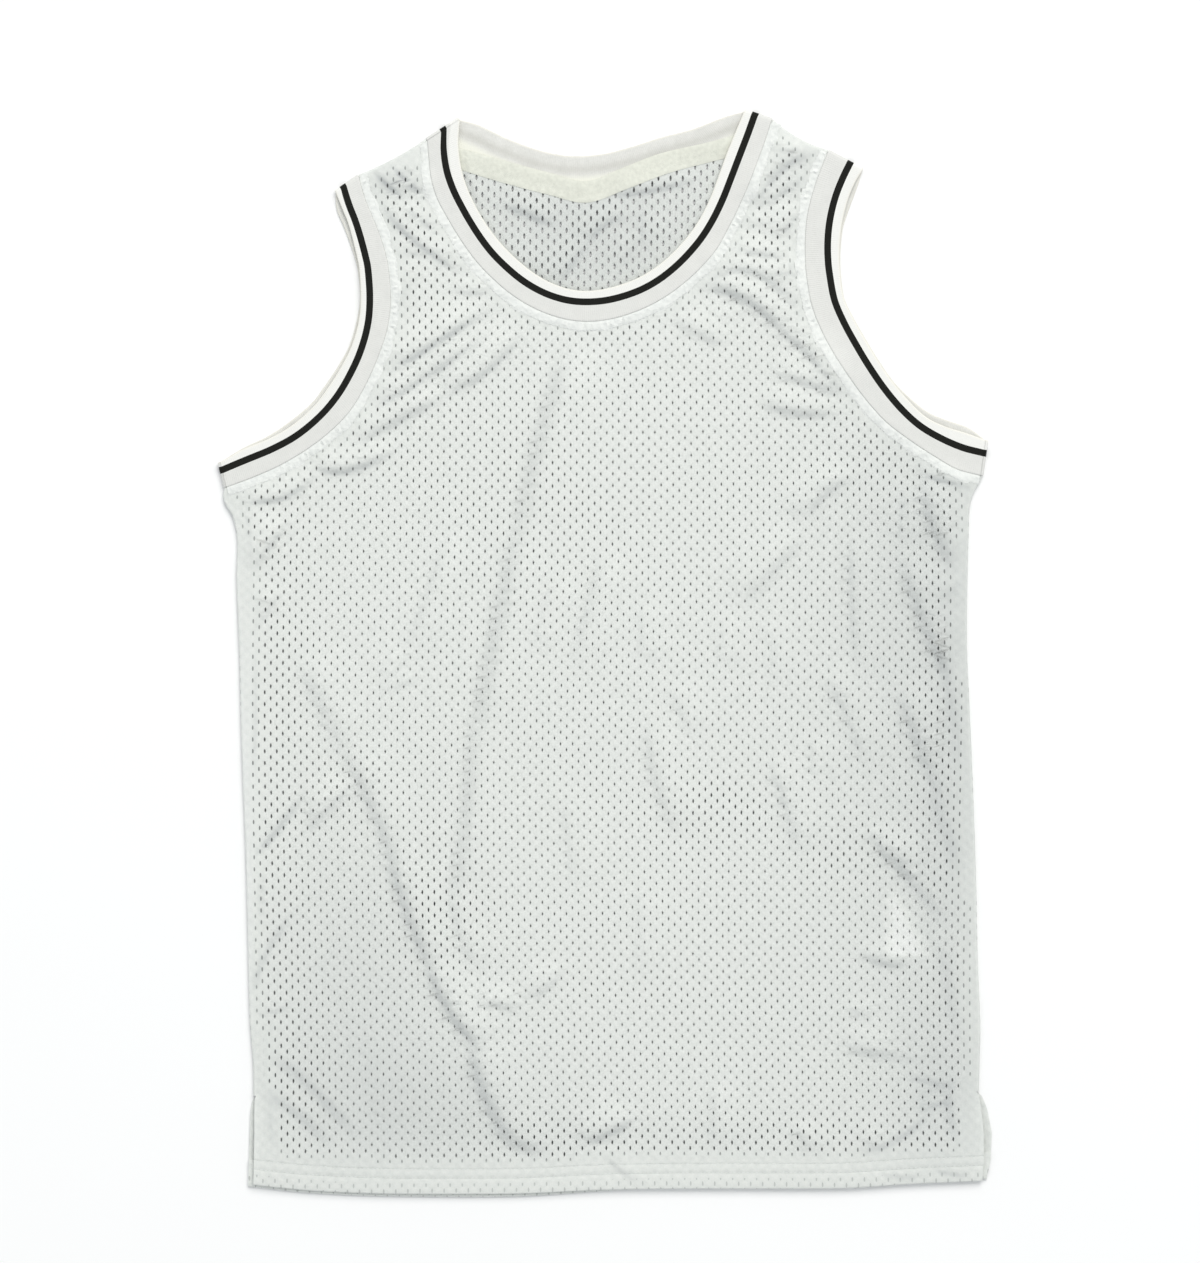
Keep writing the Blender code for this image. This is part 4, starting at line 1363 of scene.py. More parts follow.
    @staticmethod
    def fill_rim(shape: Shape, outline: Points) -> None:
        """Fills the strip between the grain's last whole cells and the outline with triangles."""
        edges = [edge for edge in shape.edges if edge.is_boundary]
        ring = [shape.verts.new((*place, 0.0)) for place in outline]
        edges += [shape.edges.new(pair) for pair in zip(ring, ring[1:] + ring[:1])]
        bmesh.ops.triangle_fill(shape, use_beauty=True, edges=edges, normal=(0.0, 0.0, 1.0))

    def pierce(self, shape: Shape, holes: list[bmesh.types.BMVert]) -> None:
        """Cuts an eyelet at each of the crossings: a small lens that stands along the knit."""
        most = 4 * self.cut * self.cut
        bmesh.ops.bevel(
            shape,
            geom=holes,
            offset=self.cut,
            offset_type="OFFSET",
            segments=1,
            profile=0.5,
            affect="VERTICES",
            material=-1,
        )
        cut = [face for face in shape.faces if len(face.verts) == 4 and face.calc_area() < most]
        middles = np.array([face.calc_center_median()[:2] for face in cut])
        sizes = self.hole_size + self.hole_growth * self.lay.opened(middles, self.layer)
        for face, size in zip(cut, sizes):
            half_width, half_height = np.array(self.eyelet) * size
            low, *sides, high = sorted(face.verts, key=lambda vertex: vertex.co.y)
            left, right = sorted(sides, key=lambda vertex: vertex.co.x)
            x, y = (left.co.x + right.co.x) / 2, (left.co.y + right.co.y) / 2
            low.co, high.co = (x, y - half_height, 0.0), (x, y + half_height, 0.0)
            left.co, right.co = (x - half_width, y, 0.0), (x + half_width, y, 0.0)
        bmesh.ops.delete(shape, geom=cut, context="FACES")

    def shown(self, points: Points) -> Points:
        """How much painted shade the material draws in an eyelet at each point, less than 0 where it
        draws none.
        """
        margin = np.full(len(points), np.inf)
        for line, bare in self.borders:
            margin = np.minimum(margin, distance(points, line) - bare)
        level = self.lay.opened(points, self.layer)
        near_rim = ease((self.rim_reach + self.rim_fade - margin) / self.rim_fade)
        level += np.maximum(self.rim_open - level, 0.0) * near_rim
        above_hem = self.pattern.above_hem(points, self.layer)
        in_hem = np.where(above_hem < self.hem_shown, self.hem_open, self.closed)
        in_body = np.clip(np.minimum(margin, level), self.least_open, 1.0)
        return np.where(above_hem < HEM_DEPTH, in_hem, in_body)

    def turned(self, edge: Points, normals: Points) -> Points:
        """The turn by which the flat edge comes close to the other panel's."""
        rows = [self.lay.lifted(edge, self.lay.of(self.layer))]
        middle = BACK_MID + SIDE_TURN
        reach = [np.sin(angle) * SIDE_TURN for angle in self.turn_angles]
        drop = [np.cos(angle) * SIDE_TURN for angle in self.turn_angles]
        for out, height in zip(reach + reach[-1:], drop + [GAP / 2]):
            level = np.full(len(edge), middle + self.layer.up * height)
            rows.append(np.column_stack([edge + normals * out, level]))
        return np.array(rows)

    def strips(self) -> list[Points]:
        """The hem and the turned edges, which join the flat cloth at its outline."""
        pattern = self.pattern
        found = [self.hem]
        for side in (Side.LEFT, Side.RIGHT):
            flat, normals = pattern.side_edge(side)
            way = pattern.ways[side.value + "_underarm"][None]
            edge = np.concatenate([flat, pattern.arm(side, self.layer)[:1, 2:4]])
            found.append(self.turned(edge, np.concatenate([normals, way])))
            row = pattern.shoulder(side, self.layer)
            way = pattern.ways[side.value + "_shoulder"]
            found.append(self.turned(row, np.broadcast_to(way, row.shape)))
        return found

    def build(self, shop: Workshop, finish: Finish) -> Piece:
        """Makes the panel.

        Args:
            shop: the workshop that finishes pieces.
            finish: the mesh cloth's material.

        Returns:
            The panel's object.
        """
        shape = self.body()
        places = np.array([vertex.co[:2] for vertex in shape.verts])
        for vertex, level in zip(shape.verts, self.lay.of(self.layer)(places)):
            vertex.co.z = level
        for strip in self.strips():
            shop.add_grid(shape, strip)
        bmesh.ops.remove_doubles(shape, verts=shape.verts, dist=MERGE)
        bmesh.ops.recalc_face_normals(shape, faces=shape.faces)
        maps = [("cloth", lambda spots: self.grain.counted(spots[:, :2]))]
        piece = shop.finish(self.name, shape, [finish], "mesh_cloth", maps, self.wall)
        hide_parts(self.node)
        spots = shop.places(piece.data)[:, :2] / MM + MIDDLE
        # The painted shade and light, the painted shade in the eyelets and along the folds, each an
        # attribute for the material.
        shop.note(piece, PAINTED_SHADE, self.lay.pressed(spots, self.layer))
        shop.note(piece, EYELET_SHADE, self.shown(spots))
        lines = CreaseLines(FRONT_FOLDS if self.layer is Layer.FRONT else BACK_FOLDS)
        for number, group in enumerate(lines.groups):
            shop.note(piece, CREASE_SHADE + str(number), lines.read(spots, group))
        return piece


def closed_sheet(middle: Points, half: Points, skins: Sequence[int] = ()) -> Shape:
    """A closed sheet around a grid of points, as thick as half says on either side.

    Args:
        middle: rows of columns of points. Where the last row repeats the first, the sheet is a ring.
        half: half the thickness at each point, 0 along every edge that closes.
        skins: the material slots of the outer and the inner columns of faces.

    Returns:
        The sheet's bmesh, in millimetres.
    """
    ring = np.allclose(middle[0], middle[-1], atol=TINY)
    if ring:
        ahead, behind = np.roll(middle[:-1], -1, axis=0), np.roll(middle[:-1], 1, axis=0)
        along = ahead - behind
        along = np.concatenate([along, along[:1]])
    else:
        along = np.gradient(middle, axis=0)
    across = np.gradient(middle, axis=1)
    normal = unit(np.cross(across, along))
    if normal[: len(normal) // 4, :, 2].mean() < 0:
        normal = -normal
    outer = middle + normal * half[..., None]
    inner = middle - normal * half[..., None]
    columns = middle.shape[1] - 1
    shape = bmesh.new()
    Workshop.add_grid(shape, outer, skins[:columns])
    Workshop.add_grid(shape, inner, skins[columns:])
    bmesh.ops.remove_doubles(shape, verts=shape.verts, dist=MERGE)
    bmesh.ops.recalc_face_normals(shape, faces=shape.faces)
    return shape


def rounded(distance_in: Points, half: float, radius: float) -> Points:
    """Half the thickness of a sheet whose edge is round, at each distance in from the edge."""
    share = 1 - np.clip(distance_in / radius, 0.0, 1.0)
    return half * np.sqrt(np.clip(1 - share * share, 0.0, 1.0))


@dataclass
class RibBand:
    """A closed band of rib with one knitted stripe, folded flat where it passes from front to back."""

    name: str
    node: str
    front: Points
    back: Points
    end_way: Points
    start_way: Points
    lay: Lay
    step: float = 2.2
    stripe: float = 4.6
    edge: float = 2.0
    edge_columns: tuple[float, ...] = (0.0, 0.08, 0.28, 0.55, 0.9)
    rest_columns: tuple[float, ...] = (0.62, 0.74, 0.87)
    half: float = RIB_CLOTH / 2
    round_edge: float = 0.9
    turn_steps: int = 9

    @cached_property
    def shares(self) -> tuple[Points, Points]:
        """Across the band: each column's place, as a share of the width and as millimetres added."""
        near = [(0.0, value) for value in (*self.edge_columns, self.edge)]
        stripe = [(0.5, value) for value in (-self.stripe / 2, 0.0, self.stripe / 2)]
        rest = [(share, 0.0) for share in self.rest_columns]
        far = [(1.0, -value) for value in (self.edge, *self.edge_columns[::-1])]
        table = np.array(near + stripe + rest + far)
        return table[:, 0], table[:, 1]

    def columns(self, stretch: Points) -> Points:
        """How far each column of each station lies from the free edge, in millimetres."""
        width = np.linalg.norm(stretch[:, 0:2] - stretch[:, 2:4], axis=1) - GAP
        share, extra = self.shares
        centre = stretch[:, 5] * width
        at = np.where(share < 0.5, 0.0, share * width[:, None])
        middle = share == 0.5
        at[:, middle] = centre[:, None]
        beyond = (share > 0.5) & (share < 1.0)
        start = centre + self.stripe / 2
        room = (width - self.edge - start)[:, None]
        at[:, beyond] = start[:, None] + room * (share[beyond] - 0.5) * 2
        keep = np.where(beyond, 0.0, extra)
        return at + keep

    def rows(self, stretch: Points, height: Measure) -> Points:
        """Each station as a row of points from the free edge to just off the seam."""
        across = unit(stretch[:, 2:4] - stretch[:, 0:2])
        flat = stretch[:, None, 0:2] + across[:, None] * self.columns(stretch)[..., None]
        return self.lay.lifted(flat, height)

    def turn(self, front_row: Points, way: Points) -> Points:
        """The rows by which the band folds over from the front to the table."""
        middle = (RIB_FRONT_MID + RIB_BACK_MID) / 2
        found = []
        for angle in np.linspace(0.0, np.pi, self.turn_steps + 1)[1:-1]:
            row = front_row.copy()
            row[:, :2] += way * RIB_TURN * np.sin(angle)
            row[:, 2] = middle + RIB_TURN * np.cos(angle)
            found.append(row)
        return np.array(found)

    @staticmethod
    def flat_back(points: Points) -> Points:
        """The height of a band's back layer."""
        return np.full(len(points), RIB_BACK_MID)

    def ring(self) -> Points:
        """The middle of the band: front, fold, back and the other fold."""
        stations = refine(self.front, self.step)
        front = self.rows(stations, lambda spots: self.lay.front(spots, RIB_FRONT_MID))
        back = self.rows(refine(self.back, self.step), self.flat_back)
        turn_out = self.turn(front[-1], self.end_way)
        turn_back = self.turn(front[0], self.start_way)
        return np.concatenate([front, turn_out, back, turn_back[::-1], front[:1]])

    def build(self, shop: Workshop, finishes: Sequence[Finish]) -> Piece:
        """Makes the band.

        Args:
            shop: the workshop that finishes pieces.
            finishes: the materials of the outside, the stripe and the inside.

        Returns:
            The band's object.
        """
        middle = self.ring()
        across = np.array([lengths(row) for row in middle])
        from_edge = np.minimum(across, across[:, -1:] - across)
        half = rounded(from_edge, self.half, self.round_edge)
        count = middle.shape[1] - 1
        outside = [Skin.OUTSIDE.value] * count
        for column in self.stripe_columns():
            outside[column] = Skin.STRIPE.value
        shape = closed_sheet(middle, half, outside + [Skin.INSIDE.value] * count)
        length = lengths(middle[:, count // 2])
        maps = [("band", BandMap(middle, across, length))]
        piece = shop.finish(self.name, shape, finishes, "rib_knit", maps)
        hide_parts(self.node)
        return piece

    def stripe_columns(self) -> list[int]:
        """The columns of faces that the stripe covers."""
        share, _ = self.shares
        first = int(np.argmax(share == 0.5))
        return [first, first + 1]


class BandMap:
    """Reads a place's length along a band and its distance from the free edge, in centimetres."""

    batch: int = 500

    def __init__(self, middle: Points, across: Points, length: Points) -> None:
        """Keeps the band's grid with the two measures of each of its points."""
        self.spots = middle.reshape(-1, 3)
        self.u = np.broadcast_to(length[:, None], across.shape).ravel() / 10
        self.v = across.ravel() / 10

    def __call__(self, places: Points) -> Points:
        """The two measures of the grid point nearest to each place."""
        found = np.empty((len(places), 2))
        for start in range(0, len(places), self.batch):
            some = slice(start, start + self.batch)
            gaps = ((places[some, None] - self.spots[None]) ** 2).sum(axis=2)
            nearest = gaps.argmin(axis=1)
            found[some] = np.column_stack([self.u[nearest], self.v[nearest]])
        return found


@dataclass
class SeamRidge:
    """The puckered strip of mesh beside a band, where the seam's turnings lie under it."""

    name: str
    stretch: Points
    lay: Lay
    seed: int
    step: float = 1.5
    inner: float = -0.24
    width: float = 6.8
    lift: float = 0.5
    sink: float = 0.5
    crown_start: float = 0.2
    sway: float = 0.09
    sway_lengths: Pair = (3.1, 7.7)
    pucker: float = 0.7
    pucker_least: float = 0.65
    pucker_change: float = 0.35
    pucker_length: float = 17.0
    pucker_peak: float = 0.8
    pitch: float = 4.4
    slant: float = 2.4
    wander: float = 0.32
    second_pitch: float = 0.61
    second_wander: float = 1.7
    second_share: float = 0.3
    half: float = 0.22
    columns: int = 10

    def height(self, points: Points) -> Points:
        """The top of the front panel."""
        return self.lay.front(points) + CLOTH / 2

    def middle(self) -> Points:
        """The strip's grid of points, from the seam outwards."""
        stretch = refine(self.stretch, self.step)
        way = unit(stretch[:, 2:4] - stretch[:, 0:2])
        share = np.linspace(0.0, 1.0, self.columns)
        along = np.arange(len(stretch)) * self.step
        short, long = self.sway_lengths
        uneven = 1 + self.sway * np.sin(along / short + self.seed)
        uneven = uneven + self.sway * np.sin(along / long - self.seed)
        at = self.inner + (self.width * uneven - self.inner)[:, None] * share[None]
        flat = stretch[:, None, 2:4] + way[:, None] * at[..., None]
        grid = self.lay.lifted(flat, self.height)
        rise = np.sin(np.pi * (self.crown_start + (1 - self.crown_start) * share))
        crown = self.lift * rise - self.sink * share**3
        rng = np.random.default_rng(self.seed)
        wander = np.cumsum(rng.normal(0.0, self.wander, len(stretch)))[:, None]
        turns = 2 * np.pi * (along / self.pitch)[:, None]
        second_turns = 2 * np.pi * (along / (self.pitch * self.second_pitch))[:, None]
        wave = (1 - self.second_share) * np.sin(turns + wander + self.slant * share[None])
        wave = wave + self.second_share * np.sin(second_turns - self.second_wander * wander)
        change = self.pucker_change * np.sin(along / self.pucker_length + self.seed)
        depth = self.pucker * (self.pucker_least + change)[:, None]
        puckers = depth * wave * np.sin(np.pi * share**self.pucker_peak)[None]
        grid[..., 2] += crown[None] + puckers
        return grid

    def build(self, shop: Workshop, finish: Finish) -> Piece:
        """Makes the strip."""
        middle = self.middle()
        half = np.full(middle.shape[:2], self.half)
        half[[0, -1]] = 0.0
        half[:, [0, -1]] = 0.0
        return shop.finish(self.name, closed_sheet(middle, half), [finish], "mesh_cloth")


@dataclass
class BackTape:
    """The cream tape that covers the back neck seam, lying on the back panel."""

    lay: Lay
    width: float = 14.6
    off_seam: float = -5.2
    rise: Pair = (1.42, 0.68)
    ramp: Pair = (1.5, -0.35)
    ripple: float = 0.08
    ripple_step: float = 1.3
    ends: Pair = (0.9, 10.1)
    count: int = 110
    columns: int = 12
    half: float = 0.3
    round_edge: float = 1.0

    def build(self, shop: Workshop, finish: Finish) -> Piece:
        """Makes the tape."""
        at = np.linspace(*self.ends, self.count + 1)
        stretch = spline(np.array(BACK_NECK, float), at)
        down = unit(stretch[:, 2:4] - stretch[:, 0:2])
        share = np.linspace(0.0, 1.0, self.columns + 1)
        near = stretch[:, 2:4] + down * self.off_seam
        flat = near[:, None] + down[:, None] * (share * self.width)[None, :, None]
        middle = self.lay.lifted(flat, self.lay.back)
        (first, last), (slope, start) = self.rise, self.ramp
        middle[..., 2] += (first + (last - first) * ease(share * slope + start))[None]
        waves = self.ripple * np.sin(np.arange(len(stretch)) * self.ripple_step)
        middle[..., 2] += waves[:, None] * np.sin(np.pi * share)[None]
        from_edge = np.minimum(share, 1 - share) * self.width
        edge = rounded(from_edge, self.half, self.round_edge)
        half = np.broadcast_to(edge, middle.shape[:2]).copy()
        half[[0, -1]] = 0.0
        piece = shop.finish("neck_tape", closed_sheet(middle, half), [finish], "tape_cloth")
        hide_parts("back_neck_tape")
        return piece


@dataclass
class CareLabel:
    """A blank satin label inside the side seam, lying on the back panel."""

    size: Pair = (53.0, 44.0)
    centre: Pair = (219.0, -180.5)
    lean: float = 0.03
    cells: tuple[int, int] = (26, 22)
    half: float = 0.3
    round_edge: float = 1.0
    ripple: float = 0.12
    ripple_reach: Pair = (6.0, 8.0)
    ripple_start: float = 0.5

    def build(self, shop: Workshop, finish: Finish) -> Piece:
        """Makes the label."""
        x = np.linspace(-0.5, 0.5, self.cells[0] + 1) * self.size[0]
        y = np.linspace(-0.5, 0.5, self.cells[1] + 1) * self.size[1]
        grid = np.stack(np.meshgrid(x, y), axis=-1)
        cosine, sine = math.cos(self.lean), math.sin(self.lean)
        flat = grid @ np.array([[cosine, sine], [-sine, cosine]]) + np.array(self.centre)
        middle = self.lifted(flat)
        waves = grid / self.ripple_reach
        ripple = self.ripple * np.sin(waves[..., 0] + self.ripple_start)
        middle[..., 2] += ripple * np.cos(waves[..., 1])
        from_edge = np.array(self.size) / 2 - np.abs(grid)
        half = rounded(from_edge.min(axis=-1), self.half, self.round_edge)
        piece = shop.finish("side_label", closed_sheet(middle, half), [finish], "label_satin")
        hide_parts("care_label")
        return piece

    @staticmethod
    def lifted(flat: Points) -> Points:
        """The flat grid of points at the height of what lies on the back panel."""
        return np.concatenate([flat, np.full((*flat.shape[:-1], 1), ON_BACK_MID)], axis=-1)


@dataclass
class StitchLine:
    """A row of machine stitches along a line, each a small thread that dips at both ends."""

    line: Points
    height: Measure
    pitch: float = 2.9
    length: float = 2.3
    thickness: float = 0.42
    overlap: float = 1.06
    flatness: float = 0.8

    def places(self) -> tuple[Points, Points]:
        """The middle of each stitch and its heading."""
        fine = refine(self.line, self.pitch, slice(0, 2))
        middle = (fine[1:] + fine[:-1]) / 2
        heading = fine[1:] - fine[:-1]
        return middle, np.arctan2(heading[:, 1], heading[:, 0])


def sew(shop: Workshop, name: str, lines: Sequence[StitchLine], finish: Finish) -> Piece:
    """Makes one piece of all the stitches of some lines.

    Args:
        shop: the workshop that finishes pieces.
        name: the piece's name.
        lines: the rows of stitches.
        finish: the thread's material.

    Returns:
        The piece.
    """
    shape = bmesh.new()
    for line in lines:
        middle, headings = line.places()
        levels = line.height(middle)
        for spot, heading, level in zip(middle, headings, levels):
            made = bmesh.ops.create_icosphere(shape, subdivisions=1, radius=0.5)
            size = (line.length * line.overlap, line.thickness, line.thickness * line.flatness)
            bmesh.ops.scale(shape, vec=size, verts=made["verts"])
            turn = np.array([math.cos(heading), math.sin(heading)])
            for vertex in made["verts"]:
                x, y, z = vertex.co
                vertex.co.x = spot[0] + x * turn[0] - y * turn[1]
                vertex.co.y = spot[1] + x * turn[1] + y * turn[0]
                vertex.co.z = level + z
    bmesh.ops.recalc_face_normals(shape, faces=shape.faces)
    return shop.finish(name, shape, [finish], "mesh_cloth")


class Sheet:
    """A material's nodes, laid out by short calls."""

    def __init__(self, name: str, colour: Colour, roughness: float) -> None:
        """Starts a material with a plain Principled shader."""
        self.material = bpy.data.materials.new(name)
        self.material.use_nodes = True
        self.tree = self.material.node_tree
        self.shader = self.tree.nodes["Principled BSDF"]
        self.shader.inputs["Base Color"].default_value = (*colour, 1.0)
        self.shader.inputs["Roughness"].default_value = roughness
        self.material.diffuse_color = (*colour, 1.0)

    def node(self, kind: str, **settings: object) -> bpy.types.Node:
        """A new node with its settings."""
        made = self.tree.nodes.new("ShaderNode" + kind)
        for key, value in settings.items():
            setattr(made, key, value)
        return made

    def link(self, source: object, target: Socket) -> None:
        """Links a socket, or sets a number."""
        if isinstance(source, Socket):
            self.tree.links.new(source, target)
        else:
            target.default_value = source

    def maths(self, operation: str, *values: object) -> Socket:
        """A Math node of the operation on up to three sockets or numbers."""
        made = self.node("Math", operation=operation)
        for value, target in zip(values, made.inputs):
            self.link(value, target)
        return made.outputs[0]

    def noise(self, place: object, scale: float, detail: float = 2.0) -> Socket:
        """A noise's value at a place."""
        made = self.node("TexNoise")
        made.inputs["Scale"].default_value = scale
        made.inputs["Detail"].default_value = detail
        self.link(place, made.inputs["Vector"])
        return made.outputs["Fac"]

    def split(self, source: Socket) -> tuple[Socket, Socket]:
        """The first two numbers of a vector."""
        parts = self.node("SeparateXYZ")
        self.link(source, parts.inputs[0])
        return parts.outputs[0], parts.outputs[1]

    def map_uv(self, title: str) -> tuple[Socket, Socket]:
        """The two coordinates of a UV map."""
        return self.split(self.node("UVMap", uv_map=title).outputs["UV"])

    def noted(self, title: str, part: str = "Fac") -> Socket:
        """What an attribute of the piece says."""
        return self.node("Attribute", attribute_name=title).outputs[part]

    def speckled(self, tone: object, noise: Socket, weight: float) -> Socket:
        """A tone with a noise added about its middle."""
        return self.maths("MULTIPLY_ADD", self.maths("SUBTRACT", noise, 0.5), weight, tone)

    def limited(self, value: Socket, most: float = 1.0) -> Socket:
        """A value kept between 0 and most."""
        return self.maths("MINIMUM", self.maths("MAXIMUM", value, 0.0), most)

    def bell(self, value: Socket) -> Socket:
        """A bell curve: 1 where the value is 0."""
        return self.maths("POWER", math.exp(-1.0), self.maths("MULTIPLY", value, value))

    def place(self) -> Socket:
        """The place on the object, in metres."""
        return self.node("TexCoord").outputs["Object"]

    def blend(self, share: Socket, low: Socket | Colour, high: Colour) -> Socket:
        """A colour laid over another, by share."""
        made = self.node("Mix", data_type="RGBA")
        self.link(share, made.inputs["Factor"])
        self.link((*low, 1.0) if isinstance(low, tuple) else low, made.inputs["A"])
        made.inputs["B"].default_value = (*high, 1.0)
        return made.outputs["Result"]

    def paint(self, colour: Socket) -> None:
        """Gives the shader its colour."""
        self.link(colour, self.shader.inputs["Base Color"])

    def bump(self, height: Socket) -> None:
        """Gives the shader a relief whose height is in metres."""
        made = self.node("Bump")
        made.inputs["Strength"].default_value = 1.0
        made.inputs["Distance"].default_value = 1.0
        self.link(height, made.inputs["Height"])
        self.link(made.outputs["Normal"], self.shader.inputs["Normal"])

    def soften(self, sheen: float) -> None:
        """Gives the shader the soft edge light of white fibres."""
        self.shader.inputs["Sheen Weight"].default_value = sheen
        self.shader.inputs["Sheen Roughness"].default_value = 0.5
        self.shader.inputs["Sheen Tint"].default_value = (1.0, 1.0, 1.0, 1.0)
        self.shader.inputs["Specular IOR Level"].default_value = 0.25


@dataclass(frozen=True)
class MeshCloth:
    """Polyester eyelet mesh: fine wales, a raised web between the eyelets and a mottled white, with
    painted shade and light on the cloth and in its eyelets, read from the piece's attributes.
    """

    name: str
    # Painted shade: how much the attributes darken and the shadow colour; then the colour of the painted
    # light over the label and at an edge.
    shadow_share: float = 0.36
    shadow: Colour = (0.36, 0.38, 0.395)
    bright: Colour = (0.95, 0.96, 0.955)
    through: float = 0.35
    depth: float = 0.003
    light: Colour = (0.865, 0.885, 0.84)
    dark: Colour = (0.715, 0.745, 0.71)
    roughness: float = 0.7
    sheen: float = 0.12
    wales: float = 10.0
    fine_scale: float = 900.0
    patch_scale: float = 170.0
    web_tone: float = -0.16
    fine_tone: float = 0.75
    patch_tone: float = 0.5
    wale_tone: float = 0.06
    web: float = 0.00010
    wale: float = 0.00005
    grain: float = 0.00012
    patch: float = 0.00013
    groove: float = 0.00025
    # Painted shade in the eyelets: its colour, and the oval's slimness, reach and edge.
    hole: Colour = (0.10, 0.105, 0.105)
    slim: float = 3.2
    reach: float = 0.3
    crisp: float = 6.0

    def make(self) -> Finish:
        """The material."""
        sheet = Sheet(self.name, self.light, self.roughness)
        u, v = sheet.map_uv("cloth")
        turn = 2 * math.pi
        across = sheet.maths("COSINE", sheet.maths("MULTIPLY", u, turn))
        along = sheet.maths("COSINE", sheet.maths("MULTIPLY", v, turn))
        web = sheet.maths("MULTIPLY", across, along)
        wales = sheet.maths("SINE", sheet.maths("MULTIPLY", u, turn * self.wales))
        place = sheet.place()
        fine = sheet.noise(place, self.fine_scale)
        patch = sheet.noise(place, self.patch_scale, 3.0)
        tone = sheet.maths("MULTIPLY_ADD", web, self.web_tone, 0.5)
        tone = sheet.speckled(tone, fine, self.fine_tone)
        tone = sheet.speckled(tone, patch, self.patch_tone)
        tone = sheet.limited(sheet.maths("MULTIPLY_ADD", wales, self.wale_tone, tone))
        ground = sheet.blend(tone, self.dark, self.light)
        # Painted shade: the patches and the lines along the folds darken the cloth, painted light
        # lightens it where the patches are below 0, and painted shade darkens the eyelets.
        creases = self.creases(sheet)
        amount = sheet.noted(PAINTED_SHADE)
        close = sheet.maths("ADD", amount, creases)
        colour = sheet.blend(sheet.maths("MULTIPLY", close, self.shadow_share), ground, self.shadow)
        colour = sheet.blend(sheet.maths("MULTIPLY", amount, -1.0), colour, self.bright)
        sheet.paint(sheet.blend(self.eyelets(sheet, across, web), colour, self.hole))
        height = sheet.maths("MULTIPLY", web, -self.web)
        for part, rise in ((wales, self.wale), (fine, self.grain), (patch, self.patch)):
            height = sheet.maths("MULTIPLY_ADD", part, rise, height)
        sheet.bump(sheet.maths("MULTIPLY_ADD", creases, -self.groove, height))
        sheet.soften(self.sheen)
        sheet.shader.inputs["Subsurface Weight"].default_value = self.through
        sheet.shader.inputs["Subsurface Radius"].default_value = (1.0, 1.0, 1.0)
        sheet.shader.inputs["Subsurface Scale"].default_value = self.depth
        return sheet.material

    def eyelets(self, sheet: Sheet, across: Socket, web: Socket) -> Socket:
        """The painted shade of an eyelet at each place: a tall oval about every crossing of the knit, no
        deeper than the attribute allows.
        """
        square = sheet.maths("MULTIPLY", across, across)
        near = sheet.maths("MULTIPLY_ADD", square, self.slim, web)
        oval = sheet.maths("MULTIPLY_ADD", near, self.crisp, -self.crisp * (self.slim + self.reach))
        return sheet.maths("MINIMUM", oval, sheet.noted(EYELET_SHADE))

    @staticmethod
    def creases(sheet: Sheet) -> Socket:
        """The painted shade along the folds, all sets together."""
        total = 0.0
        for number in range(CREASE_SETS):
            place, darkness = sheet.split(sheet.noted(CREASE_SHADE + str(number), "Vector"))
            total = sheet.maths("MULTIPLY_ADD", darkness, sheet.bell(place), total)
        return total


@dataclass(frozen=True)
class SeamCloth:
    """The same mesh where it is drawn up beside a seam: no eyelets, lumpy and brighter."""

    light: Colour = (0.84, 0.855, 0.825)
    dark: Colour = (0.70, 0.72, 0.70)
    roughness: float = 0.7
    sheen: float = 0.12
    lump_scale: float = 300.0
    fine_scale: float = 1100.0
    tone: float = 0.6
    lump_tone: float = 1.7
    lump: float = 0.0010
    fuzz: float = 0.00015

    def make(self) -> Finish:
        """The material."""
        sheet = Sheet("seam_cloth_knit", self.light, self.roughness)
        place = sheet.place()
        lump = sheet.noise(place, self.lump_scale, 3.0)
        fine = sheet.noise(place, self.fine_scale)
        tone = sheet.limited(sheet.speckled(self.tone, lump, self.lump_tone))
        sheet.paint(sheet.blend(tone, self.dark, self.light))
        height = sheet.maths("MULTIPLY", lump, self.lump)
        sheet.bump(sheet.maths("MULTIPLY_ADD", fine, self.fuzz, height))
        sheet.soften(self.sheen)
        return sheet.material


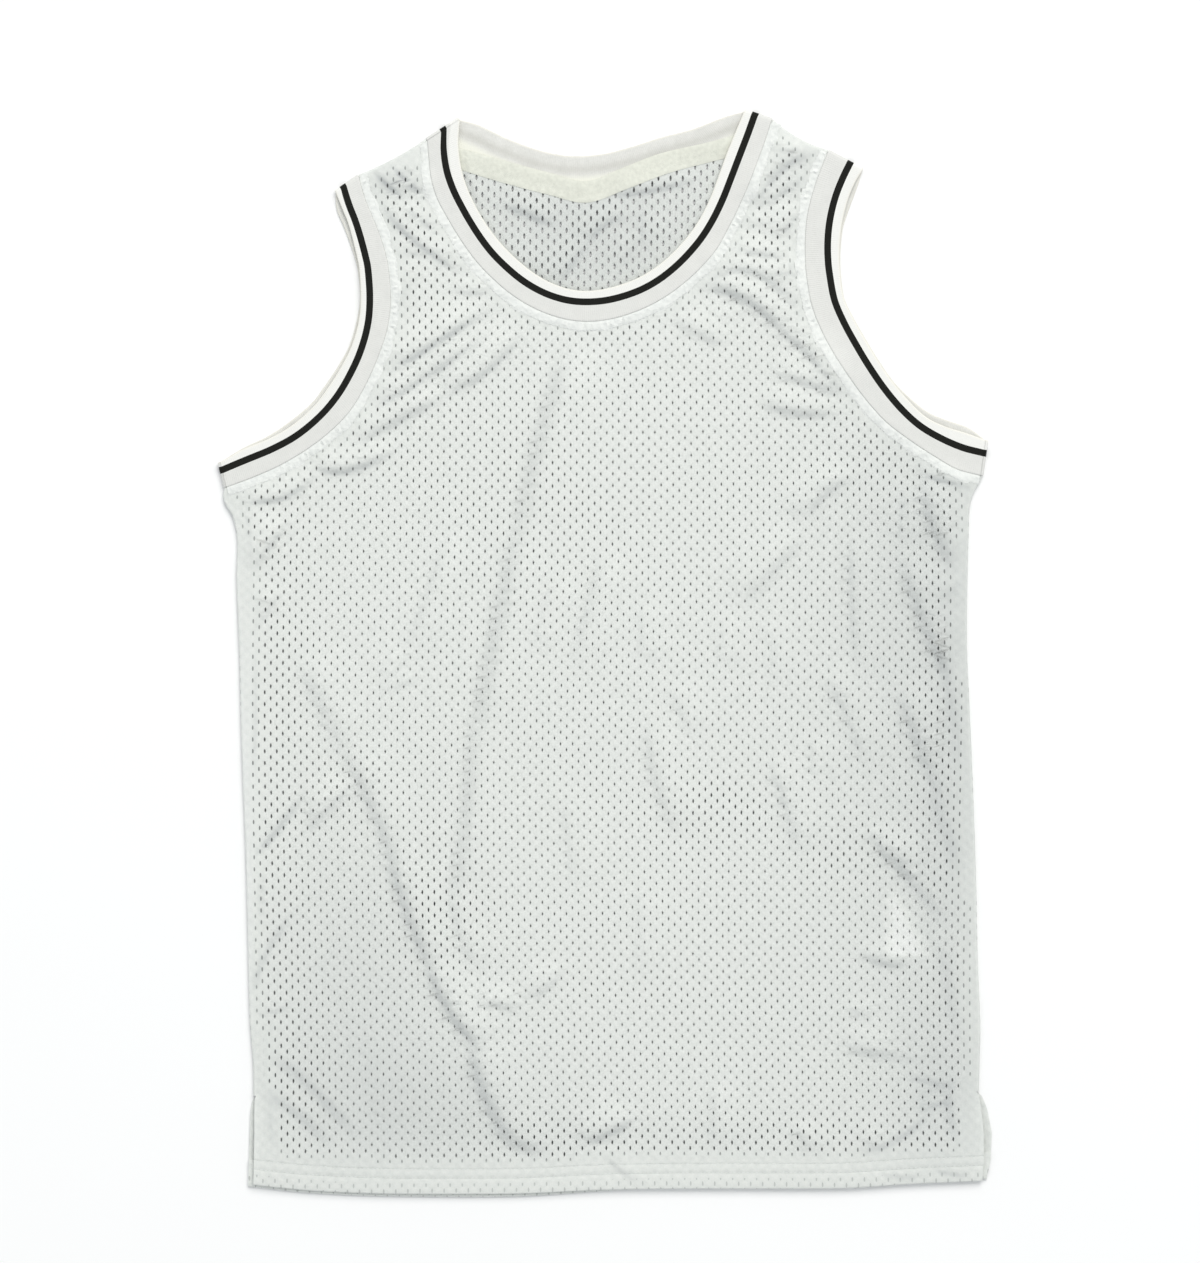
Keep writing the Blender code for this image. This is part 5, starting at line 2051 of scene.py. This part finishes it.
@dataclass(frozen=True)
class RibKnit:
    """Rib knit: fine ribs across the band, a cream bloom along its folded edge."""

    name: str
    light: Colour
    dark: Colour
    edge: Colour
    under: Colour = (0.42, 0.41, 0.36)
    cream: Colour = (0.86, 0.86, 0.765)
    pale: Colour = (0.93, 0.925, 0.89)
    by_seam: float = 0.85
    by_seam_ramp: Pair = (2.4, -2.9)
    edge_share: float = 0.55
    edge_width: float = 0.16
    outer: float = 0.0
    outer_ramp: Pair = (-4.0, 3.2)
    line: float = 0.0
    line_ramp: Pair = (3.4, -3.1)
    roughness: float = 0.8
    bloom: float = 0.1
    fine_scale: float = 1000.0
    patch_scale: float = 120.0
    fine_tone: float = 0.9
    patch_tone: float = 0.8
    rib_tone: float = 0.08
    rib: float = 0.00005
    fuzz: float = 0.00015
    pitch: float = 0.13

    def make(self) -> Finish:
        """The material."""
        sheet = Sheet(self.name, self.light, self.roughness)
        u, v = sheet.map_uv("band")
        ribs = sheet.maths("SINE", sheet.maths("MULTIPLY", u, 2 * math.pi / self.pitch))
        place = sheet.place()
        fine = sheet.noise(place, self.fine_scale)
        patch = sheet.noise(place, self.patch_scale)
        tone = sheet.speckled(0.5, fine, self.fine_tone)
        tone = sheet.speckled(tone, patch, self.patch_tone)
        tone = sheet.limited(sheet.maths("MULTIPLY_ADD", ribs, self.rib_tone, tone))
        colour = sheet.blend(tone, self.dark, self.light)
        if self.outer:
            outside = sheet.limited(sheet.maths("MULTIPLY_ADD", v, *self.outer_ramp), self.outer)
            colour = sheet.blend(outside, colour, self.pale)
        if self.line:
            bell = sheet.bell(sheet.maths("MULTIPLY_ADD", v, *self.line_ramp))
            colour = sheet.blend(sheet.maths("MULTIPLY", bell, self.line), colour, self.under)
            ramp = sheet.maths("MULTIPLY_ADD", v, *self.by_seam_ramp)
            colour = sheet.blend(sheet.maths("MINIMUM", ramp, self.by_seam), colour, self.cream)
        near = sheet.maths("SUBTRACT", 1.0, sheet.maths("DIVIDE", v, self.edge_width))
        near = sheet.maths("MULTIPLY", sheet.maths("MAXIMUM", near, 0.0), self.edge_share)
        sheet.paint(sheet.blend(near, colour, self.edge))
        height = sheet.maths("MULTIPLY", ribs, self.rib)
        sheet.bump(sheet.maths("MULTIPLY_ADD", fine, self.fuzz, height))
        sheet.soften(self.bloom)
        return sheet.material


@dataclass(frozen=True)
class PlainWeave:
    """A close woven or twisted finish for tape, thread and label."""

    name: str
    light: Colour
    dark: Colour
    roughness: float = 0.7
    scale: float = 900.0
    distortion: float = 1.5
    lump_scale: float = 0.4
    lump_tone: float = 1.2
    wave_tone: float = 0.25
    lump: float = 0.0003
    wave: float = 0.00006
    sheen: float = 0.1

    def make(self) -> Finish:
        """The material."""
        sheet = Sheet(self.name, self.light, self.roughness)
        place = sheet.place()
        wave = sheet.node("TexWave", wave_type="BANDS", bands_direction="DIAGONAL")
        wave.inputs["Scale"].default_value = self.scale
        wave.inputs["Distortion"].default_value = self.distortion
        sheet.link(place, wave.inputs["Vector"])
        lump = sheet.noise(place, self.scale * self.lump_scale, 3.0)
        tone = sheet.speckled(0.5, lump, self.lump_tone)
        tone = sheet.limited(sheet.maths("MULTIPLY_ADD", wave.outputs["Fac"], self.wave_tone, tone))
        sheet.paint(sheet.blend(tone, self.dark, self.light))
        height = sheet.maths("MULTIPLY", lump, self.lump)
        sheet.bump(sheet.maths("MULTIPLY_ADD", wave.outputs["Fac"], self.wave, height))
        sheet.soften(self.sheen)
        return sheet.material


class Lamp(NamedTuple):
    """A square soft light: its name, its place and width in metres, its power and its colour."""

    name: str
    place: tuple[float, float, float]
    width: float
    power: float
    colour: Colour


@dataclass
class Studio:
    """The pale table, the soft light and the camera straight above."""

    aim: Pair = (-2.91, 14.53)
    view_width: float = 0.810
    distance: float = 6.0
    sensor: float = 36.0
    lens_reach: float = 50.0
    floor_size: float = 4.0
    floor_drop: float = 0.0004
    paper: tuple[Colour, Colour] = ((0.92, 0.92, 0.92), (0.94, 0.94, 0.94))
    paper_scale: float = 3.0
    paper_roughness: float = 0.9
    sky: Colour = (0.945, 0.975, 1.0)
    sky_strength: float = 0.62
    lamps: tuple[Lamp, ...] = (
        Lamp("key", (1.5, 4.0, 5.6), 5.0, 335.0, (1.0, 0.985, 0.95)),
        Lamp("fill", (-3.2, -1.2, 5.0), 4.0, 20.0, (1.0, 1.0, 1.0)),
    )

    def table(self) -> None:
        """The surface that the garment lies on."""
        shape = bmesh.new()
        bmesh.ops.create_grid(shape, x_segments=2, y_segments=2, size=self.floor_size / 2)
        bmesh.ops.translate(shape, vec=(0.0, 0.0, -self.floor_drop), verts=shape.verts)
        mesh = bpy.data.meshes.new("table")
        shape.to_mesh(mesh)
        shape.free()
        paper = Sheet("table_paper", (0.93, 0.93, 0.93), self.paper_roughness)
        tone = paper.noise(paper.place(), self.paper_scale)
        paper.paint(paper.blend(tone, *self.paper))
        mesh.materials.append(paper.material)
        table = add_object("table", mesh)

    @staticmethod
    def light(lamp: Lamp) -> None:
        """Hangs a lamp, aimed at the garment."""
        lit = bpy.data.lights.new(lamp.name, "AREA")
        lit.shape = "SQUARE"
        lit.size = lamp.width
        lit.energy = lamp.power
        lit.color = lamp.colour
        x, y, z = lamp.place
        holder = add_object(lamp.name, lit)
        holder.location = lamp.place
        holder.rotation_euler = (0.0, math.atan2(math.hypot(x, y), z), math.atan2(y, x))

    def camera(self) -> None:
        """The camera, straight above with a long lens."""
        lens = bpy.data.cameras.new("camera")
        lens.sensor_fit = "HORIZONTAL"
        lens.sensor_width = self.sensor
        lens.lens = self.sensor * self.distance / self.view_width
        lens.clip_end = self.lens_reach
        holder = add_object("camera", lens)
        holder.location = (self.aim[0] * MM, self.aim[1] * MM, self.distance)
        bpy.context.scene.camera = holder

    def build(self) -> None:
        """Sets the whole stage."""
        self.table()
        for lamp in self.lamps:
            self.light(lamp)
        world = bpy.data.worlds.new("studio")
        world.use_nodes = True
        sky = world.node_tree.nodes["Background"]
        sky.inputs["Color"].default_value = (*self.sky, 1.0)
        sky.inputs["Strength"].default_value = self.sky_strength
        scene = bpy.context.scene
        scene.world = world
        scene.view_settings.view_transform = "Standard"
        scene.view_settings.look = "None"
        self.camera()


@dataclass
class Jersey:
    """The whole garment."""

    pattern: Pattern = field(default_factory=Pattern)
    shop: Workshop = field(default_factory=Workshop)
    back_phase: float = 2.1
    first_seed: int = 3
    seam_rows: Pair = (1.7, 5.3)
    seam_rise: float = 0.98
    seam_pitch: float = 2.6
    seam_stitch: float = 1.9
    hem_rows: Pair = (1.5, 7.5)
    hem_inset: float = 3.0
    hem_places: int = 60
    hem_under: float = 0.24

    def bands(self, lay: Lay) -> list[RibBand]:
        """The neckband and the two armbands."""
        pattern, ways = self.pattern, self.pattern.ways
        neck = RibBand(
            "neck_rib",
            "neckband",
            pattern.front_neck,
            pattern.back_neck[::-1],
            ways["right_shoulder"],
            ways["left_shoulder"],
            lay,
        )
        arms = [
            RibBand(
                "arm_rib_" + side.value,
                "armband_" + side.value,
                pattern.front_arm(side),
                pattern.back_arm(side)[::-1],
                ways[side.value + "_shoulder"],
                ways[side.value + "_underarm"],
                lay,
            )
            for side in Side
        ]
        return [neck, *arms]

    def panels(self, lay: Lay) -> None:
        """The back and the front."""
        # The back's eyelets get darker and larger painted shade than the front's.
        under = MeshCloth(
            "mesh_cloth_back",
            light=(0.82, 0.84, 0.80),
            dark=(0.68, 0.71, 0.68),
            hole=(0.05, 0.05, 0.05),
            reach=0.0,
        ).make()
        over = MeshCloth("mesh_cloth_front").make()
        pattern, grain = self.pattern, Grain(phase=self.back_phase)
        back = EyeletPanel("back_cloth", "back_panel", Layer.BACK, pattern, lay, BACK_EYELET, grain)
        back.build(self.shop, under)
        front = EyeletPanel("front_cloth", "front_panel", Layer.FRONT, pattern, lay, FRONT_EYELET)
        front.build(self.shop, over)

    @staticmethod
    def declare(front: Sequence[Piece], back: Sequence[Piece]) -> None:
        """Takes the pieces sewn to each panel, and does nothing with them.

        Args:
            front: the pieces sewn to the front panel; not used.
            back: the pieces sewn to the back panel; not used.
        """

    def seams(self, lay: Lay, finish: Finish) -> tuple[list[Piece], list[StitchLine]]:
        """The puckered strips beside the bands, and the stitches on them."""

        def top(spots: Points) -> Points:
            """The height of the stitches."""
            return lay.front(spots) + self.seam_rise

        pattern = self.pattern
        stretches = {
            "seam_neck": pattern.front_neck,
            "seam_arm_left": pattern.front_arm(Side.LEFT),
            "seam_arm_right": pattern.front_arm(Side.RIGHT),
        }
        strips, lines = [], []
        for seed, (name, stretch) in enumerate(stretches.items(), self.first_seed):
            strips.append(SeamRidge(name, stretch, lay, seed).build(self.shop, finish))
            way = unit(stretch[:, 2:4] - stretch[:, 0:2])
            for off in self.seam_rows:
                line = stretch[:, 2:4] + way * off
                lines.append(StitchLine(line, top, self.seam_pitch, self.seam_stitch))
        return strips, lines

    def hem_stitches(self, lay: Lay, layer: Layer) -> list[StitchLine]:
        """The two rows of stitches that hold a hem."""

        def surface(spots: Points) -> Points:
            """The height of the cloth's outer side."""
            if layer is Layer.FRONT:
                return lay.front(spots) + CLOTH / 2
            return np.full(len(spots), self.hem_under)

        x = np.linspace(HEM_ENDS[0] + self.hem_inset, HEM_ENDS[1] - self.hem_inset, self.hem_places)
        edge = self.pattern.hem_line(x, layer)
        rows = [edge + (HEM_DEPTH - off) for off in self.hem_rows]
        return [StitchLine(np.column_stack([x, row]), surface) for row in rows]

    def build(self) -> None:
        """Makes every piece."""
        lay = Lay(self.pattern)
        seam_cloth = SeamCloth().make()
        outside = RibKnit(
            "rib_outside",
            light=(0.765, 0.765, 0.735),
            dark=(0.68, 0.68, 0.655),
            edge=(0.86, 0.83, 0.73),
            outer=0.55,
        ).make()
        inside = RibKnit(
            "rib_inside",
            light=(0.80, 0.795, 0.76),
            dark=(0.64, 0.64, 0.605),
            edge=(0.84, 0.81, 0.71),
            line=0.3,
        ).make()
        stripe = RibKnit(
            "rib_stripe",
            light=(0.008, 0.009, 0.006),
            dark=(0.004, 0.004, 0.003),
            edge=(0.008, 0.008, 0.006),
            edge_share=0.0,
            bloom=0.0,
        ).make()
        tape = PlainWeave("tape_twill", light=(0.81, 0.82, 0.73), dark=(0.60, 0.61, 0.54)).make()
        satin = PlainWeave(
            "label_weave", light=(0.95, 0.96, 0.955), dark=(0.88, 0.9, 0.9), roughness=0.42
        ).make()
        thread = PlainWeave(
            "white_thread", light=(0.93, 0.94, 0.93), dark=(0.78, 0.8, 0.79), roughness=0.55, scale=1600.0
        ).make()
        self.panels(lay)
        for band in self.bands(lay):
            band.build(self.shop, [outside, stripe, inside])
        strips, seam_lines = self.seams(lay, seam_cloth)
        neck_tape = BackTape(lay).build(self.shop, tape)
        CareLabel().build(self.shop, satin)
        seams = sew(self.shop, "seam_stitches", seam_lines, thread)
        hems = {
            layer: sew(self.shop, "hem_stitches_" + layer.value, self.hem_stitches(lay, layer), thread)
            for layer in Layer
        }
        self.declare([*strips, seams, hems[Layer.FRONT]], [hems[Layer.BACK], neck_tape])


def main() -> None:
    """Loads the frame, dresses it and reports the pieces."""
    logging.basicConfig(level=logging.INFO)
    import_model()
    Studio().build()
    jersey = Jersey()
    jersey.build()
    jersey.shop.report()


if __name__ == "__main__":
    main()
